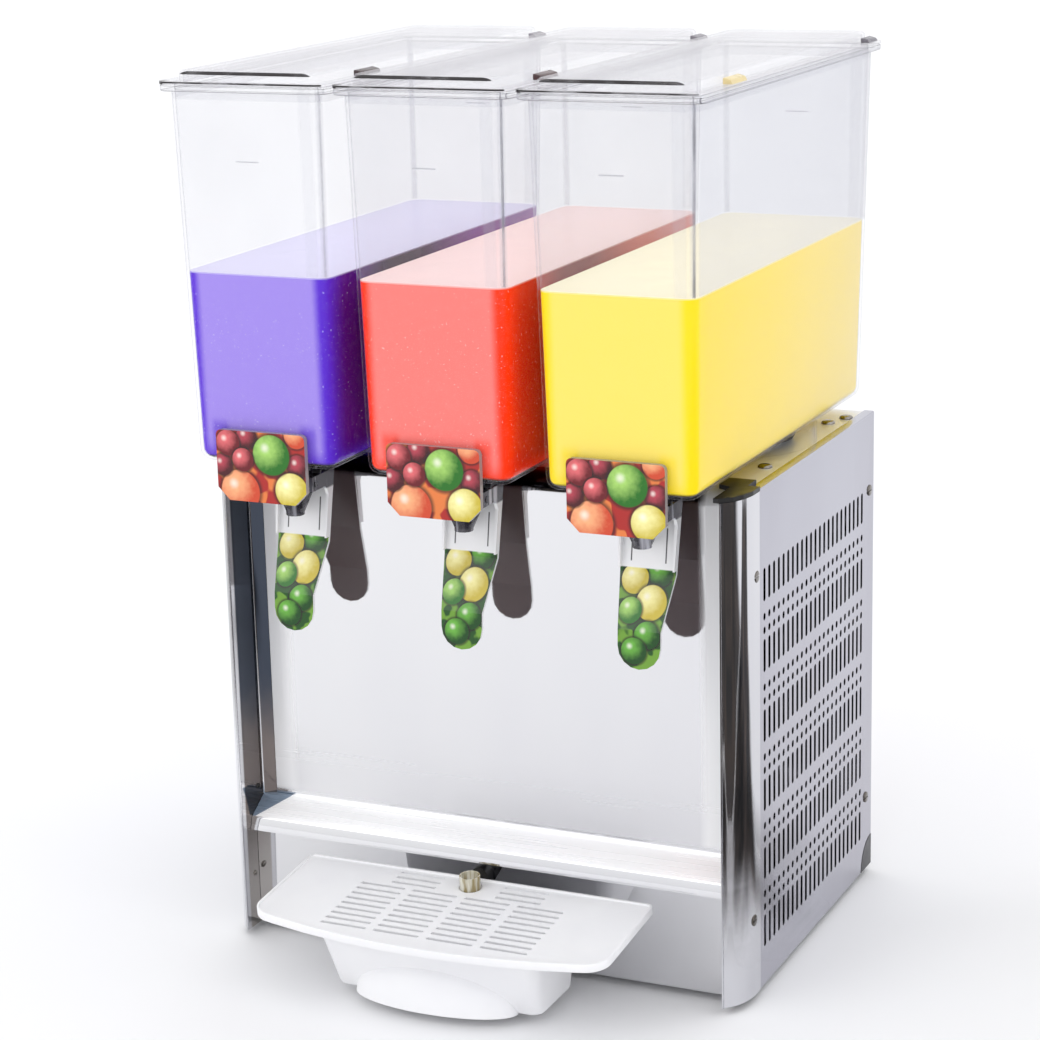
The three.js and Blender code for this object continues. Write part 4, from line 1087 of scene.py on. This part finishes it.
plate_fruit = (
    (0.0300, 0.4240, 0.0100, soft_orange),
    (-0.0180, 0.3790, 0.0165, soft_orange),
    (-0.0110, 0.4200, 0.0090, plum_red),
    (0.0310, 0.4010, 0.0090, plum_red),
    (0.0250, 0.3820, 0.0140, pale_yellow),
    (-0.0320, 0.3980, 0.0085, plum_red),
    (-0.0270, 0.4150, 0.0100, ripe_red),
    (0.0090, 0.4080, 0.0155, leaf_green),
    (-0.0150, 0.4030, 0.0090, ripe_red),
)
blade_fruit = (
    (0.0100, 0.3300, 0.0095, deep_green),
    (-0.0090, 0.3250, 0.0105, pale_yellow),
    (0.0060, 0.3100, 0.0120, pale_yellow),
    (-0.0090, 0.3040, 0.0090, leaf_green),
    (0.0060, 0.2880, 0.0100, deep_green),
    (-0.0040, 0.2760, 0.0100, deep_green),
)
mottle_scale = 260
mottle_ends = (0, 0.22)
light_share = 1 / 3
shadow_share = 1.22
shadow_most = 0.75
shade_shares = (0.2, 1.35)
glint_most = 0.65
rim_share = 0.95
print_scale = 30
print_bump = (400, 0.15, 0.00003)
plate_gloss = (0.10, 0.18)
plate_leaf = (70, (0.5, 0.56))
plate_turn = (-0.8, -0.5)
blade_gloss = (0.12, 0.22)
blade_leaf = (90, (0.48, 0.55))
blade_front_turn = (-0.7, -0.4)
blade_back_turn = (0.4, 0.7)
blade_top = (0.3320, 0.3328)
arm_foot = (0.3700, 0.3720)
arm_reflection_reach = (0.55, 0.68)
rib_across = (0.0128, 0.0138, 0.0002)
rib_span = (0.337, 0.362, 0.0004)


def printed(finish, leaf, ground, fruit):
    _, x, _, z = bowl_places(finish)
    scale, reach = leaf
    picture = finish.mix(finish.step(finish.noise(scale, detail=1), *reach), *ground)
    mottle = finish.drift(mottle_scale, mottle_ends)

    def distance(across, up):
        beside = finish.less(x, across)
        above = finish.less(z, up)
        squares = finish.maths("MULTIPLY_ADD", beside, beside, finish.product(above, above))
        return finish.maths("SQRT", squares)

    for across, up, radius, (skin, shade) in fruit:
        aside = radius * light_share
        far = distance(across, up)
        lit = distance(across - aside, up + aside)
        shadow = finish.fade(far, radius, radius * shadow_share, shadow_most)
        picture = finish.mix(shadow, picture, rim_shade)
        tint = finish.maths("ADD", finish.step(lit, *(radius * share for share in shade_shares)), mottle)
        skin_colour = finish.mix(finish.maths("MINIMUM", tint, 1), skin, shade)
        skin_colour = finish.mix(finish.fade(lit, 0, aside, glint_most), skin_colour, glint_tint)
        picture = finish.mix(finish.fall(far, radius * rim_share, radius), picture, skin_colour)
    return picture


def print_surface(finish, gloss):
    scale, strength, relief = print_bump
    finish.set(Roughness=finish.drift(print_scale, gloss))
    finish.bump(finish.noise(scale), strength, relief)
    return finish.material


def label_print():
    finish = Finish("printed label plate")
    _, normal_y, _ = finish.parts(finish.facing)
    picture = printed(finish, plate_leaf, (tone(0.66, 0.14, 0.12), tone(0.88, 0.48, 0.24)), plate_fruit)
    front = finish.fall(normal_y, *plate_turn)
    finish.set(Base_Color=finish.mix(front, tone(0.60, 0.57, 0.57), picture))
    return print_surface(finish, plate_gloss)


def lever_print():
    finish = Finish("lever plastic and print")
    _, x, _, z = bowl_places(finish)
    _, normal_y, _ = finish.parts(finish.facing)
    picture = printed(finish, blade_leaf, (tone(0.10, 0.30, 0.07), tone(0.42, 0.60, 0.20)), blade_fruit)
    front = finish.fall(normal_y, *blade_front_turn)
    rib = finish.product(finish.band(finish.span(x), *rib_across), finish.band(z, *rib_span), front)
    white = finish.mix(rib, tone(0.96, 0.96, 0.965), tone(0.30, 0.29, 0.31))
    # Above the window the arms get painted dark reflections and glints of clear plastic
    streak = finish.range(finish.noise(*reflection_streaks), *arm_reflection_reach)
    arms = finish.mix(streak, tone(0.24, 0.23, 0.27), tone(0.82, 0.82, 0.86))
    white = finish.mix(finish.step(z, *arm_foot), white, arms)
    face = finish.mix(finish.product(front, finish.fall(z, *blade_top)), white, picture)
    back = finish.range(normal_y, *blade_back_turn)
    finish.set(Base_Color=finish.mix(back, face, tone(0.50, 0.44, 0.435)))
    return print_surface(finish, blade_gloss)


plate_finish = label_print()
lever_finish = lever_print()


# Bowls, lids and drinks, modelled for the middle and copied to both sides

def bowl_shell():
    wall = bowl_wall
    floor_top = bowl_bottom + wall
    piece = ringed("bowl_shell_middle", (
        (bowl_bottom_half, bowl_bottom_front, bowl_bottom_rear, bowl_bottom),
        (bowl_top_half, bowl_top_front, bowl_top_rear, rim_low),
        (rim_half, rim_front, rim_rear, rim_low),
        (rim_half, rim_front, rim_rear, rim_top),
        (bowl_top_half - wall, bowl_top_front + wall, bowl_top_rear - wall, rim_top),
        (bowl_bottom_half - wall, bowl_bottom_front + wall, bowl_bottom_rear - wall, floor_top),
    ), bowl_corner)

    def outside(place):
        along = bowl_top_front - tiny < place.y < bowl_top_rear + tiny
        return place.z > rim_low - tiny and (abs(place.x) > bowl_top_half + tiny or not along)

    def outer_rim(edge):
        return whole(edge, outside) and abs(edge.verts[0].co.z - edge.verts[1].co.z) < tiny

    with shaping(piece):
        round_edges(piece, at_height(bowl_bottom), bowl_fillet, fillet_steps)
        round_edges(piece, at_height(floor_top), inner_fillet, fillet_steps)
        round_edges(piece, outer_rim, rim_round, rim_steps)

    def upright(name, y, radius, top, corners=collar_corners, low=collar_low - overrun):
        return rod(name, radius, (0, y, low), (0, y, top), corners)

    collar = upright("collar", dome_y, collar_radius, collar_top, low=collar_low)
    combine(collar, upright("gap", dome_y, collar_radius - wall, collar_top + overrun))
    combine(piece, collar, "UNION")
    combine(piece, upright("hole", dome_y, dome_hole, floor_top + overrun))
    combine(piece, upright("port", valve_y, port_radius, floor_top + overrun, port_corners))
    smooth(piece)
    return piece


def lid_cover():
    roof = lid_top - lid_wall
    piece = ringed("lid_cover_middle", (
        (crown_half - lid_wall, crown_front + lid_wall, crown_rear - lid_wall, roof),
        (crown_half - lid_wall, crown_front + lid_wall, crown_rear - lid_wall, lid_low),
        (rim_half, rim_front, rim_rear, lid_low),
        (rim_half, rim_front, rim_rear, lid_flange_top),
        (crown_half, crown_front, crown_rear, lid_flange_top),
        (crown_half, crown_front, crown_rear, lid_shoulder),
        (crown_half - crown_bevel, crown_front + crown_bevel, crown_rear - crown_bevel, lid_top),
    ), lid_corner)
    smooth(piece)
    return piece


def juice_body():
    piece = ringed("juice_body_middle", (
        (juice_bottom_half, juice_bottom_front, juice_bottom_rear, juice_low),
        (juice_top_half, juice_top_front, juice_top_rear, juice_level),
    ), juice_corner)
    with shaping(piece):
        round_edges(piece, at_height(juice_low), juice_fillet, fillet_steps)
    low = (0, dome_y, juice_low - overrun)
    combine(piece, rod("hollow", juice_hollow, low, (0, dome_y, juice_hollow_top), collar_corners))
    smooth(piece)
    return piece


def in_threes(piece, word, body, finish_of, slot_of, node):
    """Readies a piece of the middle bowl, and its copies in the bowls beside it."""
    for side, shift in bowl_shifts.items():
        if side != "middle":
            twin = copy_of(piece, f"{word}_{side}", (shift, 0, 0))
            ready(twin, f"{body}_{side}", finish_of(side), slot_of(side), f"{node}_{side}")
    ready(piece, f"{body}_middle", finish_of("middle"), slot_of("middle"), f"{node}_middle")


def always(value):
    return lambda side: value


juice_slots = {"left": "violet_juice", "middle": "red_juice", "right": "yellow_juice"}
in_threes(bowl_shell(), "bowl_shell", "bowl_unit", always(clear_wall), always("clear_plastic"), "bowl")
in_threes(lid_cover(), "lid_cover", "lid", always(clear_lid), always("clear_plastic"), "lid")
in_threes(juice_body(), "juice_body", "bowl_unit", drinks.get, juice_slots.get, "juice")


# Cabinet sheets

def capsule(name, height, middle):
    """A cutter through the right side panel: an upright slot with round ends."""
    radius = slot_width / 2
    low_x, high_x = (panel_face - sheet - overrun, panel_face + overrun)
    low = (low_x, slot_first_y, middle)
    piece = rod(name, radius, low, (high_x, slot_first_y, middle), slot_corners, 0)
    with shaping(piece):
        bpy.ops.mesh.select_all(action="SELECT")
        bpy.ops.transform.rotate(value=math.pi / slot_corners, orient_axis="X", center_override=low)
        choose(piece, "VERT", lambda corner: corner.co.z > middle)
        bpy.ops.transform.translate(value=(0, 0, height / 2 - radius))
        choose(piece, "VERT", lambda corner: corner.co.z < middle)
        bpy.ops.transform.translate(value=(0, 0, radius - height / 2))
    return piece


def louvres():
    slots = capsule("slots", slot_height, slot_first_z + slot_height / 2)
    rows = [repeat(slots, slot_rows, (0, 0, slot_row_pitch))]
    for number, drop in enumerate(dot_drops):
        dots = capsule(f"dots_{number}", dot_height, slot_first_z + slot_row_pitch + slot_height - drop)
        rows.append(repeat(dots, slot_rows - 1, (0, 0, slot_row_pitch)))
    return repeat(join("louvres", *rows), slot_columns, (0, slot_pitch, 0))


def side_sheet():
    path = ((panel_face, 0, cabinet_bottom), (panel_face, 0, flange_top), (flange_inner, 0, flange_top))
    piece = folded("side_sheet_right", path, 1, panel_front, panel_rear, panel_bends, 1)
    low = (flange_inner, panel_rear, cabinet_bottom)
    high = (side_x + overrun, panel_rear, cabinet_bottom)
    combine(piece, rod("notch", trim_radius, low, high, axis=0))
    combine(piece, louvres())
    smooth(piece)
    return piece


def column():
    path = [(x, y, 0) for x, y in column_path]
    piece = folded("column_right", path, 2, cabinet_bottom, deck_top, column_bends, -1)
    smooth(piece, sheet_angle)
    return piece


def wide_sheet(name, path, half, bends):
    """A sheet from side to side; its path is the place of each fold along and up."""
    places = [(0, y, z) for y, z in path]
    piece = folded(name, places, 0, -half, half, bends, -1)
    smooth(piece, sheet_angle)
    return piece


def on_both_sides(piece, word, finish, slot, node):
    twin = copy_of(piece, f"{word}_left", mirrored=True)
    smooth(twin, sheet_angle)
    ready(twin, "cabinet", finish, slot, f"{node}_left")
    ready(piece, "cabinet", finish, slot, f"{node}_right")


on_both_sides(side_sheet(), "side_sheet", side_steel, "satin_steel", "side_panel")
on_both_sides(column(), "column", column_steel, "mirror_steel", "corner_column")
front_sheet = wide_sheet("front_sheet", front_path, panel_edge, front_bends)
ready(front_sheet, "cabinet", mirror_steel, "mirror_steel", "front_panel")
lower_sheet = wide_sheet("lower_sheet", lower_path, lower_edge, lower_bends)
ready(lower_sheet, "cabinet", mirror_steel, "mirror_steel", "lower_front_panel")


# Drip tray

def tray_outline(name, inset, low, high):
    front = -tray_length - tray_bow
    piece = block(name, (-tray_half + inset, front, low), (tray_half - inset, -inset, high))
    radius = (tray_half ** 2 + tray_bow ** 2) / (2 * tray_bow)
    middle = front + radius
    bow_low = (0, middle, low - overrun)
    bow = rod("bow", radius - inset, bow_low, (0, middle, high + overrun), tray_bow_corners)
    combine(piece, bow, "INTERSECT")
    along = runs_along(2)
    side = tray_half - inset - tiny

    def corner_at(rear):
        def wanted(edge):
            place = edge.verts[0].co
            return along(edge) and abs(place.x) > side and (place.y > -inset - tiny) == rear
        return wanted

    with shaping(piece):
        round_edges(piece, corner_at(False), tray_front_corner - inset, tray_front_steps)
        round_edges(piece, corner_at(True), tray_back_corner - inset, tray_back_steps)
    return piece


def drain_slots():
    radius = drain_width / 2
    deep = -tray_recess - tray_plate - overrun
    column_length = (2 * drain_half - (drain_columns - 1) * drain_gap) / drain_columns
    first_row = -tray_length + drain_front
    spans = [
        (-drain_half + number * (column_length + drain_gap), drain_rows, first_row)
        for number in range(drain_columns)
    ]
    rear_row = first_row + drain_rows * drain_pitch
    spans.append((-drain_rear_half, drain_rear_rows, rear_row))
    spans.append((drain_rear_half - column_length, drain_rear_rows, rear_row))
    cutters = []
    for number, (start, rows, row) in enumerate(spans):
        piece = rod(f"slot_{number}", radius, (start, row, deep), (start, row, overrun), slot_corners)
        with shaping(piece):
            choose(piece, "VERT", lambda corner: corner.co.x > start + tiny)
            bpy.ops.transform.translate(value=(column_length - radius, 0, 0))
            choose(piece, "VERT", lambda corner: corner.co.x < start - tiny)
            bpy.ops.transform.translate(value=(radius, 0, 0))
        cutters.append(repeat(piece, rows, (0, drain_pitch, 0)))
    return join("slots", *cutters)


def lean_down(piece):
    """Turns a piece modelled flat, with its back edge on the X axis, to the tray's tilt and place."""
    piece.rotation_euler = (tray_tilt, 0, 0)
    piece.location = (0, tray_back_y, tray_back_z)
    return settle(piece)


def grille():
    piece = tray_outline("tray_grille_plate", 0, -tray_skirt, 0)
    combine(piece, tray_outline("above", tray_rim, -tray_recess, overrun))
    finish_edges(piece, tray_edge_round, sheet_angle)
    combine(piece, tray_outline("below", tray_rim, -tray_skirt - overrun, -tray_recess - tray_plate))
    well_low = (0, -well_back, -tray_recess - well_depth)
    combine(piece, rod("well", well_radius, well_low, (0, -well_back, overrun), well_corners))
    combine(piece, drain_slots())
    smooth(piece)
    return lean_down(piece)


def under_tray(y, drop):
    return tray_back_z + (y - tray_back_y) * math.tan(tray_tilt) - drop / math.cos(tray_tilt)


def belly(name, inset, floor):
    piece = fresh(
        name, bpy.ops.mesh.primitive_uv_sphere_add, segments=belly_corners, ring_count=belly_rings,
        radius=1, location=(0, basin_front, basin_low)
    )
    piece.scale = (belly_half - inset, belly_reach - inset, belly_height - inset)
    settle(piece)
    with shaping(piece):
        bpy.ops.mesh.select_all(action="SELECT")
        bpy.ops.mesh.bisect(
            plane_co=(0, 0, floor), plane_no=(0, 0, 1), use_fill=True, clear_inner=True, clear_outer=False
        )
        face_out()
    return piece


def basin():
    rear_top = under_tray(basin_top_rear, tray_recess + tray_plate + basin_gap)
    floor = basin_low + basin_wall
    under_lip = rear_top - basin_wall
    lip = basin_lip
    piece = ringed("tray_basin", (
        (basin_half - basin_wall, basin_front + basin_wall, basin_rear - basin_wall, floor),
        (basin_top_half - basin_wall, basin_top_front + basin_wall, basin_top_rear - basin_wall, rear_top),
        (basin_top_half + lip, basin_top_front - lip, basin_top_rear + lip, rear_top),
        (basin_top_half + lip, basin_top_front - lip, basin_top_rear + lip, under_lip),
        (basin_top_half, basin_top_front, basin_top_rear, under_lip),
        (basin_half, basin_front, basin_rear, basin_low),
    ), basin_corner)
    with shaping(piece):
        choose(piece, "VERT", lambda corner: corner.co.z > under_lip - tiny)
        bpy.ops.transform.rotate(
            value=-tray_tilt, orient_axis="X", center_override=(0, basin_top_rear, rear_top)
        )
        round_edges(piece, at_height(basin_low), basin_fillet, basin_steps)
        face_out()
    combine(piece, belly("belly", 0, basin_low), "UNION")
    combine(piece, belly("hollow", basin_wall, floor))
    smooth(piece, sheet_angle)
    return piece


ready(grille(), "tray_grille", white_moulding, "white_plastic", "drip_tray_grille")
ready(basin(), "tray", white_moulding, "white_plastic", "drip_tray_basin")


# Screws, studs, lid latches and the tray's float

def screw(name, radius, height):
    """A domed head that faces along X, with its top at the middle of the frame."""
    piece = rod(name, radius, (-height, 0, 0), (0, 0, 0), screw_corners, 0)
    with shaping(piece):
        top = height * screw_dome_share
        round_edges(piece, lambda edge: whole(edge, lambda place: place.x > -tiny), top, screw_steps)
    reach = radius + overrun
    half = screw_slot / 2
    combine(piece, block("groove", (-height / 2, -reach, -half), (overrun, reach, half)))
    smooth(piece, sheet_angle)
    return piece


def place_screws():
    head = screw("side_screw", screw_radius, screw_height)
    for number, place in enumerate(side_screws):
        right = copy_of(head, f"side_screw_right_{number}", place)
        left = copy_of(right, f"side_screw_left_{number}", mirrored=True)
        for piece in (right, left):
            ready(piece, "cabinet", screw_steel, "satin_steel")
    bpy.data.objects.remove(head)
    small = screw("return_screw", return_screw_radius, screw_height)
    looks = ((black_moulding, "black_plastic"), (screw_steel, "satin_steel"))
    for number, ((y, z), look) in enumerate(zip(return_screws, looks)):
        left = copy_of(small, f"return_screw_left_{number}", (-return_face + screw_height, y, z))
        right = copy_of(left, f"return_screw_right_{number}", mirrored=True)
        for piece in (left, right):
            ready(piece, "cabinet", *look)
    bpy.data.objects.remove(small)


def place_studs():
    top = deck_level + stud_height
    stud = rod("stud", stud_radius, (0, 0, deck_level), (0, 0, top), stud_corners)
    with shaping(stud):
        round_edges(stud, at_height(top), stud_height * stud_dome_share, stud_steps)
    smooth(stud, sheet_angle)
    for number, (x, y) in enumerate(studs):
        for side, across in (("right", x), ("left", -x)):
            piece = copy_of(stud, f"deck_stud_{side}_{number}", (across, y, 0))
            ready(piece, "cabinet", screw_steel, "satin_steel")
    bpy.data.objects.remove(stud)


def place_latches():
    finishes = {"front": (dark_latch, dark_latch, pale_latch), "rear": (grey_latch,) * len(sides)}

    def above(place):
        return place.z > lid_flange_top + tiny

    def leaning(corner):
        return above(corner.co) and corner.co.x > hook_inner + tiny

    for word, front, rear, height in lid_hooks:
        low = (hook_inner, front, lid_flange_top)
        latch = block("latch", low, (hook_outer, rear, lid_flange_top + height))
        with shaping(latch):
            choose(latch, "VERT", leaning)
            bpy.ops.transform.translate(value=(-hook_round, 0, -hook_round))
            choose(latch, "EDGE", lambda edge: whole(edge, above))
            bpy.ops.mesh.bevel(offset=hook_round / 2, segments=hook_steps, affect="EDGES")
        smooth(latch, sheet_angle)
        for (side, shift), finish in zip(bowl_shifts.items(), finishes[word]):
            piece = copy_of(latch, f"lid_latch_{word}_{side}", (shift, 0, 0))
            ready(piece, f"lid_{side}", finish, "clear_plastic")
        bpy.data.objects.remove(latch)


def tray_float():
    floor = -tray_recess - well_depth
    top = floor + float_height

    def upright(name, radius, low, high):
        return rod(name, radius, (0, -well_back, low), (0, -well_back, high), float_corners)

    piece = upright("tray_float", float_radius, floor, top)
    combine(piece, upright("hollow", float_radius - float_wall, floor + float_wall, top + overrun))
    finish_edges(piece, float_wall * float_edge_share, float_edge_angle)
    smooth(piece, sheet_angle)
    return lean_down(piece)


place_screws()
place_studs()
place_latches()
ready(tray_float(), "tray_grille", amber_float, "clear_plastic")


# Valve springs

def spring():
    piece = fresh(
        "tap_spring_middle", bpy.ops.mesh.primitive_circle_add, vertices=wire_corners,
        radius=spring_wire / 2, location=(spring_radius, 0, 0), rotation=(quarter_turn, 0, 0),
        fill_type="NGON"
    )
    settle(piece)
    change(
        piece, "SCREW", angle=2 * math.pi * spring_turns, screw_offset=spring_high - spring_low,
        steps=coil_steps, render_steps=coil_steps, use_normal_calculate=True
    )
    with shaping(piece):
        bpy.ops.mesh.select_all(action="SELECT")
        bpy.ops.mesh.remove_doubles(threshold=coil_merge)
        bpy.ops.mesh.delete_loose()
        choose(piece, "EDGE", lambda edge: edge.is_boundary)
        bpy.ops.mesh.edge_face_add()
        face_out()
    piece.location = (0, valve_y, spring_low)
    settle(piece)
    smooth(piece, coil_angle)
    return piece


in_threes(spring(), "tap_spring", "bowl_unit", always(zinc_sheet), always("satin_steel"), "valve_spring")
for side, shift in bowl_shifts.items():
    coil = bpy.data.objects[f"tap_spring_{side}"]
    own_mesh(coil)


# Finishes of the solids that stay

kept = {
    "base_pan": zinc_sheet,
    "rear_panel": rear_steel,
    "rear_base_trim": dark_moulding,
    "top_deck": deck_steel,
    "tray_hook": black_moulding,
    "stir_motor_rail": zinc_sheet,
    "compressor": black_enamel,
    "condenser": rolled_aluminium,
    "condenser_fan": inner_white,
    "fan_motor": black_enamel,
    "power_switch": black_moulding,
    "thermostat_knob": black_moulding,
    "power_inlet": black_moulding,
    "column_cap_left": black_moulding,
    "column_cap_right": black_moulding,
}
for place in ("front_left", "front_right", "rear_left", "rear_right"):
    kept[f"foot_{place}"] = soft_rubber
for side in sides:
    kept[f"evaporator_dome_{side}"] = deck_steel
    kept[f"bowl_seal_{side}"] = soft_rubber
    kept[f"impeller_{side}"] = inner_white
    kept[f"tap_housing_{side}"] = clear_tap
    kept[f"valve_plunger_{side}"] = dark_moulding
    kept[f"label_plate_{side}"] = plate_finish
    kept[f"lever_{side}"] = lever_finish
for name, finish in kept.items():
    nodes[name].data.materials.clear()
    nodes[name].data.materials.append(finish)


# Floor, cards, sky and lamps; a card has its place, its size and its turn

floor_size = (60, 60)
cards = (
    ("card_right", (1.20, -0.33, 0.002), (2.0, 1.25), 0),
    ("card_side", (0.95, 0.36, 0.002), (1.6, 0.50), math.radians(38)),
    ("card_left", (-1.20, -0.36, 0.002), (1.7, 0.26), 0),
)
card_wave = (3, (-0.04, 0.04))
card_fade = (0.36, 0.48)
card_swirl_scale = 5
card_swirl = (0.4, 0.65)
card_gloss = (8, (0.8, 0.9))
sky_tint = (0.98, 0.985, 1, 1)
sky_low = 1.0
sky_high = 1.32
clear_bounces = 32
lamp_settings = (
    ("lamp_front", (-1.4, -2.2, 2.2), 1.6, 9),
    ("lamp_right", (2.4, -0.6, 1.8), 1.2, 4),
)
lamp_aim = Vector((0, 0, 0.35))


def stage_sheet(name, middle, size, turn, finish, seen=True):
    piece = fresh(name, bpy.ops.mesh.primitive_plane_add, size=1, location=middle, rotation=(0, 0, turn))
    piece.scale = (*size, 1)
    piece.data.materials.append(finish)
    piece.visible_camera = seen
    piece.visible_diffuse = seen
    piece.visible_shadow = seen


def soft_card():
    """A dark card that fades out towards its edges."""
    finish = Finish("dark card")
    x, y, _ = finish.parts()
    wave = finish.drift(*card_wave, detail=2)
    shares = [finish.fade(finish.maths("ADD", finish.span(place), wave), *card_fade) for place in (x, y)]
    swirl = finish.range(finish.noise(card_swirl_scale), *card_swirl)
    finish.set(Base_Color=finish.mix(swirl, tone(0.13, 0.13, 0.14), tone(0.30, 0.26, 0.24)))
    finish.set(Alpha=finish.product(*shares), Roughness=finish.drift(*card_gloss))
    return finish.material


def studio_sky():
    sky = bpy.data.worlds.new("studio")
    sky.use_nodes = True
    tree = sky.node_tree
    background = tree.nodes["Background"]
    background.inputs["Color"].default_value = sky_tint
    coordinate = tree.nodes.new("ShaderNodeTexCoord")
    parts = tree.nodes.new("ShaderNodeSeparateXYZ")
    lift = tree.nodes.new("ShaderNodeMapRange")
    lift.inputs["To Min"].default_value = sky_low
    lift.inputs["To Max"].default_value = sky_high
    tree.links.new(coordinate.outputs["Generated"], parts.inputs["Vector"])
    tree.links.new(parts.outputs["Z"], lift.inputs["Value"])
    tree.links.new(lift.outputs["Result"], background.inputs["Strength"])
    return sky


floor_finish = moulded(
    "studio floor", tone(0.94, 0.94, 0.945), tone(0.93, 0.93, 0.935), (0.6, 0.7), grain=40, relief=0.0001
)
stage_sheet("floor", (0, 0, 0), floor_size, 0, floor_finish)
card_finish = soft_card()
for card in cards:
    stage_sheet(*card, card_finish, seen=False)

scene.world = studio_sky()
scene.view_settings.view_transform = "Standard"
if hasattr(scene, "cycles"):
    scene.cycles.transparent_max_bounces = clear_bounces

for name, place, width, power in lamp_settings:
    data = bpy.data.lights.new(name, "AREA")
    data.shape = "SQUARE"
    data.size = width
    data.energy = power
    lamp = bpy.data.objects.new(name, data)
    scene.collection.objects.link(lamp)
    lamp.location = place
    lamp.rotation_mode = "QUATERNION"
    lamp.rotation_quaternion = (lamp_aim - Vector(place)).to_track_quat("-Z", "Y")
